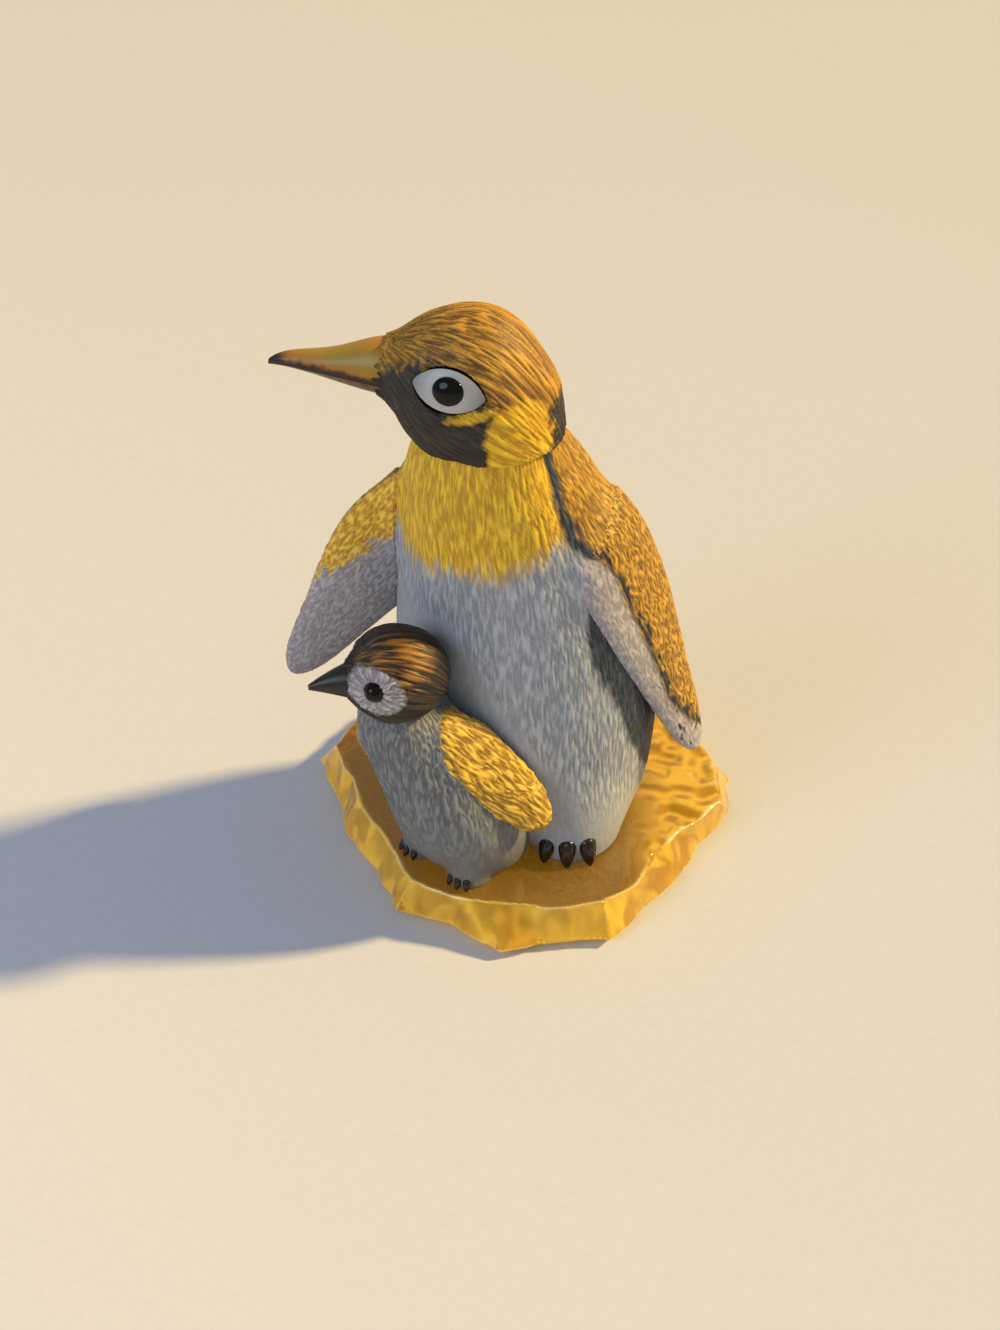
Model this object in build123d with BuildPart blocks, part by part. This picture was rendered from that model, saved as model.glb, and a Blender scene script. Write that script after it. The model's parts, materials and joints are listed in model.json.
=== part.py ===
import os
from collections import namedtuple
from math import cos, hypot, radians, sin

from build123d import *

os.makedirs("parts", exist_ok=True)

# Millimetres. +Z is up, the adult faces -Y, and the origin is the middle of the slab's underside.
# Ring: a level slice of a trunk. side is towards the bird's left, front towards its breast.
Ring = namedtuple("Ring", "height width depth side front")
# Slice: an upright slice of a head or bill, at a distance forward of the middle of the head.
Slice = namedtuple("Slice", "forward width height up")
# Blade: a slice of a flipper at a share of its length; sink draws it into the trunk, as a share of the chord.
Blade = namedtuple("Blade", "share chord thickness sink")
# Chip: a corner of the slab's rim, at a turn about the vertical. short is how far it stays inside the radius,
# lip how far the top edge stands back from it, and lead how far the top corner is turned on.
Chip = namedtuple("Chip", "turn short lip lead")

# Clear slab
FLOE_RADIUS = 29.6
FLOE_HEIGHT = 6.0
SKIRT_HEIGHT = 1.2
SKIRT_UNDERCUT = 2.6
CHIPS = (
    Chip(0, 3.6, 1.6, -10),
    Chip(12, 1.6, 1.2, -8),
    Chip(25, 1.0, 2.8, -5),
    Chip(41, 2.8, 2.2, 2),
    Chip(58, 1.2, 3.4, -3),
    Chip(76, 3.0, 2.0, 4),
    Chip(93, 1.0, 3.0, -4),
    Chip(110, 2.6, 1.8, 3),
    Chip(127, 0.8, 3.2, -2),
    Chip(143, 2.8, 2.2, 4),
    Chip(158, 1.4, 3.0, -3),
    Chip(172, 2.4, 2.0, 2),
    Chip(187, 0.0, 2.6, 4),
    Chip(208, 4.0, 1.8, -1),
    Chip(222, 4.4, 2.2, -3),
    Chip(238, 4.8, 1.2, 3),
    Chip(253, 2.0, 1.6, 3),
    Chip(269, 3.2, 0.4, 2),
    Chip(283, 0.2, 3.6, -3),
    Chip(293, 1.6, 1.6, 2),
    Chip(311, 0.4, 2.0, -1),
    Chip(324, 3.0, 0.8, -2),
    Chip(341, 4.0, 2.4, -7),
)

# Fits
GLUE_GAP = 0.06
PEG_DIAMETER = 3.0
PEG_LENGTH = 5.0
PEG_SHARE = 0.16
PEG_BITE = 1.1

# Adult trunk
ADULT_X = 0.8
ADULT_Y = -1.6
HEM_LIFT = 1.2
HEM = Ring(HEM_LIFT, 29.6, 26.6, 0.0, 0.8)
THIGH = Ring(5.0, 32.0, 29.4, 0.0, 0.6)
BELLY = Ring(12.0, 33.4, 30.2, -0.2, 0.4)
WAIST = Ring(22.0, 33.0, 29.4, -0.2, 0.6)
CHEST = Ring(32.0, 30.0, 26.6, -0.8, 1.4)
SHOULDER = Ring(41.0, 26.4, 23.6, -1.6, 2.4)
NECK = Ring(48.0, 22.4, 21.2, -2.4, 3.6)
THROAT = Ring(54.0, 16.6, 16.8, -3.0, 5.4)
NECK_STUB = Ring(58.0, 10.0, 10.0, -3.2, 6.4)
TRUNK = (HEM, THIGH, BELLY, WAIST, CHEST, SHOULDER, NECK, THROAT, NECK_STUB)
TAIL_WIDTH = 12.0
TAIL_THICKNESS = 4.4
TAIL_REACH = 19.6
TAIL_ROOT_HEIGHT = 9.0
TAIL_TIP_HEIGHT = 2.0
# share of the reach, height, share of the size
TAIL = (
    (0.35, TAIL_ROOT_HEIGHT, 1.0),
    (0.75, (TAIL_ROOT_HEIGHT + TAIL_TIP_HEIGHT) / 2, 0.9),
    (1.0, TAIL_TIP_HEIGHT, 0.5),
)

# Adult head, from the top of the neck stub
HEAD_AHEAD = 1.4
HEAD_LEFT = 1.2
HEAD_RISE = 3.2
HEAD_TURN = 78.0
HEAD_PITCH = 4.0
POLL = Slice(-9.4, 2.6, 3.0, -1.8)
NAPE = Slice(-8.4, 8.0, 8.8, -1.6)
OCCIPUT = Slice(-6.2, 12.4, 13.2, -1.2)
CROWN = Slice(-3.0, 15.4, 17.0, -0.5)
BROW = Slice(0.8, 16.0, 17.6, -0.2)
CHEEK = Slice(4.8, 13.8, 15.0, -0.1)
LORE = Slice(7.6, 9.6, 10.0, 0.5)
BILL_SEAT = Slice(9.2, 7.0, 7.0, 0.9)
SKULL = (POLL, NAPE, OCCIPUT, CROWN, BROW, CHEEK, LORE, BILL_SEAT)

# Adult bill: the first slice stands back from the feathers by a small step
FEATHER_STEP = 0.35
BILL_MIDDLE = Slice(13.7, 4.4, 4.4, 0.5)
BILL_HOOK = Slice(18.2, 2.7, 2.4, 0.3)
BILL_NAIL = Slice(20.8, 1.7, 1.5, 0.1)
BILL_TIP = Slice(22.3, 0.7, 0.6, -0.4)
GAPE_UP = -0.3
BILL_ROOT = Slice(
    BILL_SEAT.forward, BILL_SEAT.width - 2 * FEATHER_STEP, BILL_SEAT.height - 2 * FEATHER_STEP, BILL_SEAT.up
)
BILL = (BILL_ROOT, BILL_MIDDLE, BILL_HOOK, BILL_NAIL, BILL_TIP)

# Adult eyes
EYE_LENGTH = 8.0
EYE_OPENING = 5.0
EYE_TILT = 22.0
EYE_SLANT = -7.0
EYE_DEPTH = 4.4
EYE_CUT = 2 * EYE_DEPTH
EYE_PROUD = 0.3
PUPIL_DIAMETER = 4.0
PUPIL_PROUD = 0.75

# Adult flippers
FLIPPER_LENGTH = 36.6
FLIPPER_CHORD = 13.0
FLIPPER_THICKNESS = 4.4
FLIPPER = (FLIPPER_LENGTH, FLIPPER_CHORD, FLIPPER_THICKNESS)
BLADES = (
    Blade(-0.1, 0.6, 0.9, 0.34),
    Blade(0.08, 1.02, 1.0, 0.04),
    Blade(0.3, 1.04, 0.95, 0.0),
    Blade(0.55, 0.82, 0.8, 0.0),
    Blade(0.8, 0.56, 0.6, 0.0),
    Blade(0.94, 0.34, 0.44, 0.0),
    Blade(1.0, 0.12, 0.2, 0.0),
)
SHOULDER_HEIGHT = 43.4
LEFT_INSET = 0.55
RIGHT_INSET = 2.8
SHOULDER_FRONT = 1.0
LEFT_STANDOFF = 1.2
LEFT_TRAIL = 4.1
LEFT_EDGE = (-0.26, -0.97, 0.0)
RIGHT_STANDOFF = 8.5
RIGHT_TRAIL = -0.5
RIGHT_EDGE = (-0.70, -0.36, 0.49)

# Feet: smooth lobes with three claws along the front
FOOT_WIDTH = 13.2
FOOT_LENGTH = 15.0
FOOT_DOME = 5.4
FOOT_ROUND = 4.0
CLAWS = (-26.0, 0.0, 26.0)
CLAW_WIDTH = 2.6
CLAW_TIP = 0.9
CLAW_LENGTH = 2.6
CLAW_DROP = 62.0
CLAW_RISE = 2.5
LEFT_HEEL = (8.2, -6.6)
LEFT_SPLAY = 15.0
RIGHT_HEEL = (-9.6, -4.2)
RIGHT_SPLAY = -36.0

# Chick trunk, placed from the adult
CHICK_LEFT = -4.4
CHICK_AHEAD = 16.4
CHICK_TURN = 19.0
CHICK_HEM_LIFT = 0.9
CHICK_HEM = Ring(CHICK_HEM_LIFT, 15.6, 13.0, 0.9, -2.4)
CHICK_THIGH = Ring(4.0, 17.0, 15.4, 0.9, -1.6)
CHICK_BELLY = Ring(9.0, 16.8, 15.8, 0.5, -0.2)
CHICK_CHEST = Ring(16.0, 15.2, 14.4, -1.6, 1.4)
CHICK_NECK = Ring(22.0, 12.0, 12.0, -3.6, 3.0)
CHICK_STUB = Ring(26.0, 7.0, 7.0, -4.2, 4.0)
CHICK_TRUNK = (CHICK_HEM, CHICK_THIGH, CHICK_BELLY, CHICK_CHEST, CHICK_NECK, CHICK_STUB)

# Chick head, from the top of its neck stub
CHICK_HEAD_AHEAD = 0.4
CHICK_HEAD_LEFT = 0.8
CHICK_HEAD_RISE = 3.2
CHICK_HEAD_TURN = 58.0
CHICK_HEAD_PITCH = 1.0
CHICK_POLL = Slice(-6.3, 2.0, 2.0, 0.0)
CHICK_NAPE = Slice(-5.2, 6.4, 6.6, 0.0)
CHICK_CROWN = Slice(-1.6, 11.0, 11.2, 0.0)
CHICK_BROW = Slice(2.4, 10.2, 10.4, 0.0)
CHICK_LORE = Slice(4.6, 6.6, 6.8, -0.1)
CHICK_BILL_SEAT = Slice(5.7, 4.0, 4.0, -0.2)
CHICK_SKULL = (CHICK_POLL, CHICK_NAPE, CHICK_CROWN, CHICK_BROW, CHICK_LORE, CHICK_BILL_SEAT)
CHICK_BILL_MIDDLE = Slice(8.0, 2.2, 2.3, -0.3)
CHICK_BILL_TIP = Slice(10.0, 0.6, 0.6, -0.6)
CHICK_BILL = (CHICK_BILL_SEAT, CHICK_BILL_MIDDLE, CHICK_BILL_TIP)
CHICK_EYE_DIAMETER = 2.4
CHICK_EYE_PROUD = 0.5
CHICK_EYE_TILT = 14.0

# Chick flippers: they hang from the shoulder to a tip that stays clear of the slab
CHICK_SHOULDER_HEIGHT = 21.2
CHICK_SHOULDER_FRONT = 0.8
CHICK_LEFT_INSET = 1.1
CHICK_RIGHT_INSET = 1.85
CHICK_TIP_LIFT = 3.2
CHICK_FLIPPER_LENGTH = CHICK_SHOULDER_HEIGHT - CHICK_TIP_LIFT
CHICK_FLIPPER_CHORD = 8.6
CHICK_FLIPPER_THICKNESS = 3.4
CHICK_FLIPPER = (CHICK_FLIPPER_LENGTH, CHICK_FLIPPER_CHORD, CHICK_FLIPPER_THICKNESS)
CHICK_LEFT_STANDOFF = 3.4
CHICK_LEFT_TRAIL = 8.0
CHICK_LEFT_EDGE = (-0.36, -0.62, -0.58)
CHICK_RIGHT_STANDOFF = 1.3
CHICK_RIGHT_TRAIL = 6.1
CHICK_RIGHT_EDGE = (-0.30, -0.90, 0.0)
CHICK_PEG_REACH = 9.0

# Chick feet, as a share of the adult's
CHICK_FOOT_SHARE = 0.44
CHICK_LEFT_HEEL = (4.6, -1.6)
CHICK_RIGHT_HEEL = (-3.0, -1.2)
CHICK_SPLAY = 10.0


def bird(x, y, turn):
    """Standing frame of a bird, turned to its right: x to its left, y to its back, z up."""
    angle = radians(turn)
    return Plane(origin=(x, y, FLOE_HEIGHT), x_dir=(cos(angle), -sin(angle), 0), z_dir=(0, 0, 1))


def level(frame, ring):
    """Level plane of a trunk's ring."""
    origin = frame.from_local_coords(Vector(ring.side, -ring.front, ring.height))
    return Plane(origin=origin, x_dir=frame.x_dir, z_dir=frame.z_dir)


def girth(rings, height):
    """Ring of a trunk at any height, between the two rings that hold it."""
    for low, high in zip(rings, rings[1:]):
        if low.height <= height <= high.height:
            share = (height - low.height) / (high.height - low.height)
            return Ring(*(a + share * (b - a) for a, b in zip(low, high)))


def head(frame, stub, ahead, left, rise, turn, pitch):
    """Frame of a head on its neck stub: x along the bill, y to its left, z up."""
    t, p = radians(turn), radians(pitch)
    bill = Vector(-sin(t) * cos(p), -cos(t) * cos(p), sin(p))
    up = Vector(sin(t) * sin(p), cos(t) * sin(p), cos(p))
    top = frame.from_local_coords(Vector(stub.side, -stub.front, stub.height))
    return Plane(origin=top + bill * ahead + up.cross(bill) * left + up * rise, x_dir=bill, z_dir=up)


def across(frame, cut):
    """Upright plane of a head's slice, seen from the front of the bill."""
    origin = frame.from_local_coords(Vector(cut.forward, 0, cut.up))
    return Plane(origin=origin, x_dir=frame.y_dir, z_dir=frame.x_dir)


def eye_plane(frame, cut, tilt, side):
    """Plane through a head slice's middle that looks out to one side and up, x along the bill."""
    angle = radians(tilt)
    out = frame.y_dir * (side * cos(angle)) + frame.z_dir * sin(angle)
    origin = frame.from_local_coords(Vector(cut.forward, 0, cut.up))
    return Plane(origin=origin, x_dir=frame.x_dir, z_dir=out).rotated((0, 0, side * EYE_SLANT))


def reach(cut, tilt):
    """Distance from a head slice's middle to its skin, at a tilt above the horizontal."""
    angle = radians(tilt)
    return 1 / hypot(cos(angle) / (cut.width / 2), sin(angle) / (cut.height / 2))


def rim(inset, lip, lead):
    """Corners of the slab's chipped outline at one level, with shares of the lips and leads."""
    corners = []
    for chip in CHIPS:
        angle = radians(chip.turn + lead * chip.lead)
        size = FLOE_RADIUS - chip.short - inset - lip * chip.lip
        corners.append((size * cos(angle), size * sin(angle)))
    return corners


def stack(frame, rings):
    """A trunk lofted through its level rings."""
    with BuildPart() as form:
        for ring in rings:
            with BuildSketch(level(frame, ring)):
                Ellipse(ring.width / 2, ring.depth / 2)
        loft()
    return form.part


def row(frame, cuts, grow=0):
    """A head or bill lofted through its upright slices, grown by a thickness."""
    with BuildPart() as form:
        for cut in cuts:
            with BuildSketch(across(frame, cut)):
                Ellipse(cut.width / 2 + grow, cut.height / 2 + grow)
        loft()
    return form.part


def almond(gap):
    """Outline of an adult's eye, taken in by a gap."""
    with BuildSketch() as outline:
        with BuildLine():
            corner, lid = EYE_LENGTH / 2 - gap, EYE_OPENING / 2 - gap
            ThreePointArc((-corner, 0), (0, lid), (corner, 0))
            ThreePointArc((corner, 0), (0, -lid), (-corner, 0))
        make_face()
    return outline.sketch


def wing(frame, side, shoulder, front, inset, low, standoff, trail, edge):
    """Frame of a flipper that hangs from inside one shoulder to a point beside a lower ring: z along it."""
    out = shoulder.side + side * (shoulder.width / 2 - inset)
    root = Vector(out, -shoulder.front - front, shoulder.height)
    beside = Vector(low.side + side * (low.width / 2 + standoff), root.Y + trail, low.height)
    origin = frame.from_local_coords(root)
    return Plane(origin=origin, x_dir=edge, z_dir=frame.from_local_coords(beside) - origin)


def flipper(frame, inward, size, bodies):
    """A flipper along the frame's z, leading edge towards x, its root sunk inward and cut to the bodies."""
    length, chord, thickness = size
    with BuildPart() as blade:
        for cut in BLADES:
            origin = frame.from_local_coords(Vector(0, 0, cut.share * length)) + inward * (cut.sink * chord)
            with BuildSketch(Plane(origin=origin, x_dir=frame.x_dir, z_dir=frame.z_dir)):
                Ellipse(cut.chord * chord / 2, cut.thickness * thickness / 2)
        loft()
        add(bodies, mode=Mode.SUBTRACT)
    return blade.part


def white(frame, cuts, look, floor, bead):
    """An almond eye white that stands a little proud of the head and holds a bead."""
    with BuildPart() as almond_white:
        add(row(frame, cuts, EYE_PROUD))
        with BuildSketch(look.offset(floor)):
            add(almond(GLUE_GAP))
        extrude(amount=EYE_CUT, mode=Mode.INTERSECT)
        with Locations(look.offset(bead).location):
            Sphere(PUPIL_DIAMETER / 2, mode=Mode.SUBTRACT)
    return almond_white.part


def foot(frame, heel, splay, share, hem, bodies):
    """A smooth foot lobe, flat on the slab, cut to the bodies above it, with claws and a peg."""
    middle = frame.from_local_coords(Vector(heel[0], heel[1], 0))
    sole = Plane(origin=middle, x_dir=frame.x_dir, z_dir=frame.z_dir).rotated((0, 0, splay))
    with BuildPart() as lobe:
        with BuildSketch(sole):
            Ellipse(share * FOOT_WIDTH / 2, share * FOOT_LENGTH / 2)
        extrude(amount=share * FOOT_DOME)
        fillet(lobe.faces().sort_by(Axis.Z)[-1].edges(), share * FOOT_ROUND)
        for turn in CLAWS:
            across_foot = FOOT_WIDTH / 2 * sin(radians(turn))
            along_foot = FOOT_LENGTH / 2 * cos(radians(turn))
            root = Vector(across_foot, -along_foot, CLAW_RISE) * share
            ahead = Vector(0, -cos(radians(CLAW_DROP)), -sin(radians(CLAW_DROP))).rotate(Axis.Z, turn)
            tip = root + ahead * (share * CLAW_LENGTH)
            start = sole.from_local_coords(root - ahead * (share * CLAW_WIDTH / 2))
            end = sole.from_local_coords(tip)
            with BuildSketch(Plane(origin=start, z_dir=end - start)):
                Circle(share * CLAW_WIDTH / 2)
            with BuildSketch(Plane(origin=end, z_dir=end - start)):
                Circle(share * CLAW_TIP / 2)
            loft()
        add(bodies, mode=Mode.SUBTRACT)
        with BuildSketch(sole):
            Circle(share * PEG_DIAMETER / 2)
        extrude(amount=hem + share * PEG_LENGTH)
    return lobe.part


def foot_socket(frame, heel):
    """Plane on the slab under a foot's peg."""
    return Plane(origin=frame.from_local_coords(Vector(heel[0], heel[1], 0)), z_dir=frame.z_dir)


EYE_FLOOR = reach(BROW, EYE_TILT) - EYE_DEPTH
BEAD_DEPTH = reach(BROW, EYE_TILT) + EYE_PROUD + PUPIL_PROUD - PUPIL_DIAMETER / 2
CHICK_BEAD_DEPTH = reach(CHICK_BROW, CHICK_EYE_TILT) + CHICK_EYE_PROUD - CHICK_EYE_DIAMETER / 2
ADULT = bird(ADULT_X, ADULT_Y, 0)
CHICK = bird(ADULT_X + CHICK_LEFT, ADULT_Y - CHICK_AHEAD, CHICK_TURN)
HEAD = head(ADULT, NECK_STUB, HEAD_AHEAD, HEAD_LEFT, HEAD_RISE, HEAD_TURN, HEAD_PITCH)
CHICK_HEAD = head(
    CHICK, CHICK_STUB, CHICK_HEAD_AHEAD, CHICK_HEAD_LEFT, CHICK_HEAD_RISE, CHICK_HEAD_TURN, CHICK_HEAD_PITCH
)
GAPE = Plane(HEAD.from_local_coords(Vector(0, 0, GAPE_UP)), x_dir=HEAD.x_dir, z_dir=HEAD.z_dir)

shoulder = girth(TRUNK, SHOULDER_HEIGHT)
LEFT_WING = wing(
    ADULT, 1, shoulder, SHOULDER_FRONT, LEFT_INSET, WAIST, LEFT_STANDOFF, LEFT_TRAIL, LEFT_EDGE
)
RIGHT_WING = wing(
    ADULT, -1, shoulder, SHOULDER_FRONT, RIGHT_INSET, WAIST, RIGHT_STANDOFF, RIGHT_TRAIL, RIGHT_EDGE
)
peg_seat = Vector(0, 0, PEG_SHARE * FLIPPER_LENGTH)
LEFT_PEG = Plane(LEFT_WING.from_local_coords(peg_seat), z_dir=-ADULT.x_dir)
RIGHT_PEG = Plane(RIGHT_WING.from_local_coords(peg_seat), z_dir=ADULT.x_dir)

chick_shoulder = girth(CHICK_TRUNK, CHICK_SHOULDER_HEIGHT)
CHICK_LEFT_WING = wing(
    CHICK, 1, chick_shoulder, CHICK_SHOULDER_FRONT, CHICK_LEFT_INSET,
    CHICK_BELLY, CHICK_LEFT_STANDOFF, CHICK_LEFT_TRAIL, CHICK_LEFT_EDGE,
)
CHICK_RIGHT_WING = wing(
    CHICK, -1, chick_shoulder, CHICK_SHOULDER_FRONT, CHICK_RIGHT_INSET,
    CHICK_BELLY, CHICK_RIGHT_STANDOFF, CHICK_RIGHT_TRAIL, CHICK_RIGHT_EDGE,
)
CHICK_BACK_PEG = Plane(
    CHICK.from_local_coords(Vector(CHICK_BELLY.side, 0, CHICK_BELLY.height)),
    x_dir=CHICK.x_dir, z_dir=CHICK.y_dir,
)

LEFT_LOOK = eye_plane(HEAD, BROW, EYE_TILT, 1)
RIGHT_LOOK = eye_plane(HEAD, BROW, EYE_TILT, -1)
CHICK_LEFT_BEAD = eye_plane(CHICK_HEAD, CHICK_BROW, CHICK_EYE_TILT, 1).offset(CHICK_BEAD_DEPTH)
CHICK_RIGHT_BEAD = eye_plane(CHICK_HEAD, CHICK_BROW, CHICK_EYE_TILT, -1).offset(CHICK_BEAD_DEPTH)

# Clear slab: flat facets between an undercut foot, a skirt edge and a top edge
with BuildPart() as ice_floe:
    for height, inset, lip in ((0, SKIRT_UNDERCUT, 0), (SKIRT_HEIGHT, 0, 0), (FLOE_HEIGHT, 0, 1)):
        with BuildSketch(Plane.XY.offset(height)):
            with BuildLine():
                Polyline(*rim(inset, lip, lip), close=True)
            make_face()
    loft(ruled=True)

# Adult trunk with the tail, before its sockets are bored
with BuildPart() as trunk:
    add(stack(ADULT, TRUNK))
    for share, height, size in TAIL:
        origin = ADULT.from_local_coords(Vector(0, share * TAIL_REACH, height))
        with BuildSketch(Plane(origin=origin, x_dir=ADULT.x_dir, z_dir=ADULT.y_dir)):
            Ellipse(size * TAIL_WIDTH / 2, size * TAIL_THICKNESS / 2)
    loft()

# Chick trunk, hollowed at the back by the adult's belly, before its sockets are bored
with BuildPart() as chick_trunk:
    add(stack(CHICK, CHICK_TRUNK))
    add(trunk.part, mode=Mode.SUBTRACT)
BODIES = (trunk.part, chick_trunk.part)

# Adult body: the trunk with sockets for two flippers, two feet and the chick's peg
with BuildPart() as adult_body:
    add(trunk.part)
    for socket in (LEFT_PEG, RIGHT_PEG):
        with BuildSketch(socket.offset(-PEG_LENGTH)):
            Circle(PEG_DIAMETER / 2 + GLUE_GAP)
        extrude(amount=2 * PEG_LENGTH + GLUE_GAP, mode=Mode.SUBTRACT)
    for heel in (LEFT_HEEL, RIGHT_HEEL):
        with BuildSketch(foot_socket(ADULT, heel)):
            Circle(PEG_DIAMETER / 2 + GLUE_GAP)
        extrude(amount=HEM_LIFT + PEG_LENGTH + GLUE_GAP, mode=Mode.SUBTRACT)
    with BuildSketch(CHICK_BACK_PEG):
        Circle(PEG_DIAMETER / 2 + GLUE_GAP)
    extrude(amount=CHICK_PEG_REACH + GLUE_GAP, mode=Mode.SUBTRACT)

# Chick body: a peg at the back, sockets for two feet below
with BuildPart() as chick_body:
    add(chick_trunk.part)
    for heel in (CHICK_LEFT_HEEL, CHICK_RIGHT_HEEL):
        with BuildSketch(foot_socket(CHICK, heel)):
            Circle(CHICK_FOOT_SHARE * PEG_DIAMETER / 2 + GLUE_GAP)
        extrude(amount=CHICK_HEM_LIFT + CHICK_FOOT_SHARE * PEG_LENGTH + GLUE_GAP, mode=Mode.SUBTRACT)
    with BuildSketch(CHICK_BACK_PEG):
        Circle(PEG_DIAMETER / 2)
    extrude(amount=CHICK_PEG_REACH)

# Adult flippers: each is cut to the trunk and pegged into the shoulder
with BuildPart() as adult_left_flipper:
    add(flipper(LEFT_WING, -ADULT.x_dir, FLIPPER, trunk.part))
    with BuildSketch(LEFT_PEG.offset(-PEG_BITE)):
        Circle(PEG_DIAMETER / 2)
    extrude(amount=PEG_BITE + PEG_LENGTH)
with BuildPart() as adult_right_flipper:
    add(flipper(RIGHT_WING, ADULT.x_dir, FLIPPER, trunk.part))
    with BuildSketch(RIGHT_PEG.offset(-PEG_BITE)):
        Circle(PEG_DIAMETER / 2)
    extrude(amount=PEG_BITE + PEG_LENGTH)

# Adult head: slips over the neck stub and has a pocket for each eye
with BuildPart() as adult_head:
    add(row(HEAD, SKULL))
    add(trunk.part, mode=Mode.SUBTRACT)
    for look in (LEFT_LOOK, RIGHT_LOOK):
        with BuildSketch(look.offset(EYE_FLOOR)):
            add(almond(0))
        extrude(amount=EYE_CUT, mode=Mode.SUBTRACT)

# Adult bill: one tapered horn, parted along the gape
with BuildPart() as adult_upper_bill:
    add(row(HEAD, BILL))
    split(bisect_by=GAPE, keep=Keep.TOP)
with BuildPart() as adult_lower_bill:
    add(row(HEAD, BILL))
    split(bisect_by=GAPE, keep=Keep.BOTTOM)

# Adult eyes
with BuildPart() as adult_left_eye:
    add(white(HEAD, SKULL, LEFT_LOOK, EYE_FLOOR, BEAD_DEPTH))
with BuildPart() as adult_right_eye:
    add(white(HEAD, SKULL, RIGHT_LOOK, EYE_FLOOR, BEAD_DEPTH))
with BuildPart() as adult_left_pupil:
    with Locations(LEFT_LOOK.offset(BEAD_DEPTH).location):
        Sphere(PUPIL_DIAMETER / 2)
with BuildPart() as adult_right_pupil:
    with Locations(RIGHT_LOOK.offset(BEAD_DEPTH).location):
        Sphere(PUPIL_DIAMETER / 2)

# Adult feet
with BuildPart() as adult_left_foot:
    add(foot(ADULT, LEFT_HEEL, LEFT_SPLAY, 1, HEM_LIFT, BODIES))
with BuildPart() as adult_right_foot:
    add(foot(ADULT, RIGHT_HEEL, RIGHT_SPLAY, 1, HEM_LIFT, BODIES))

# Chick head: slips over the neck stub, with a bead set in each side
with BuildPart() as chick_head:
    add(row(CHICK_HEAD, CHICK_SKULL))
    add(chick_trunk.part, mode=Mode.SUBTRACT)
    for bead in (CHICK_LEFT_BEAD, CHICK_RIGHT_BEAD):
        with Locations(bead.location):
            Sphere(CHICK_EYE_DIAMETER / 2, mode=Mode.SUBTRACT)
with BuildPart() as chick_bill:
    add(row(CHICK_HEAD, CHICK_BILL))
with BuildPart() as chick_left_eye:
    with Locations(CHICK_LEFT_BEAD.location):
        Sphere(CHICK_EYE_DIAMETER / 2)
with BuildPart() as chick_right_eye:
    with Locations(CHICK_RIGHT_BEAD.location):
        Sphere(CHICK_EYE_DIAMETER / 2)

# Chick flippers: cut to its trunk and head and to the belly behind them
AROUND_CHICK = (trunk.part, chick_trunk.part, chick_head.part)
with BuildPart() as chick_left_flipper:
    add(flipper(CHICK_LEFT_WING, -CHICK.x_dir, CHICK_FLIPPER, AROUND_CHICK))
with BuildPart() as chick_right_flipper:
    add(flipper(CHICK_RIGHT_WING, CHICK.x_dir, CHICK_FLIPPER, AROUND_CHICK))

# Chick feet
with BuildPart() as chick_left_foot:
    add(foot(CHICK, CHICK_LEFT_HEEL, CHICK_SPLAY, CHICK_FOOT_SHARE, CHICK_HEM_LIFT, BODIES))
with BuildPart() as chick_right_foot:
    add(foot(CHICK, CHICK_RIGHT_HEEL, -CHICK_SPLAY, CHICK_FOOT_SHARE, CHICK_HEM_LIFT, BODIES))

PIECES = {
    "ice_floe": ice_floe,
    "adult_body": adult_body,
    "adult_head": adult_head,
    "adult_upper_bill": adult_upper_bill,
    "adult_lower_bill": adult_lower_bill,
    "adult_left_eye": adult_left_eye,
    "adult_right_eye": adult_right_eye,
    "adult_left_pupil": adult_left_pupil,
    "adult_right_pupil": adult_right_pupil,
    "adult_left_flipper": adult_left_flipper,
    "adult_right_flipper": adult_right_flipper,
    "adult_left_foot": adult_left_foot,
    "adult_right_foot": adult_right_foot,
    "chick_body": chick_body,
    "chick_head": chick_head,
    "chick_bill": chick_bill,
    "chick_left_eye": chick_left_eye,
    "chick_right_eye": chick_right_eye,
    "chick_left_flipper": chick_left_flipper,
    "chick_right_flipper": chick_right_flipper,
    "chick_left_foot": chick_left_foot,
    "chick_right_foot": chick_right_foot,
}
for name, piece in PIECES.items():
    piece.part.label = name
    export_step(piece.part, f"parts/{name}.step")
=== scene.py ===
# %% [markdown]
# # A painted penguin and its chick on a clear ice floe
# The real object is a small hand-painted figurine, 76 mm tall. Its bodies, heads and flippers are moulded
# with fine feather strokes, then painted, and the base is a slab of clear honey-coloured resin with a chipped
# rim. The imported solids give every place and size. Here each of them gets its skin, its strokes and its
# paint.

# %% Load the solids as the fixed frame
import json
import math
from collections import namedtuple
import bpy
import numpy as np
from mathutils import Euler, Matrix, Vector
from mathutils.bvhtree import BVHTree

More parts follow.
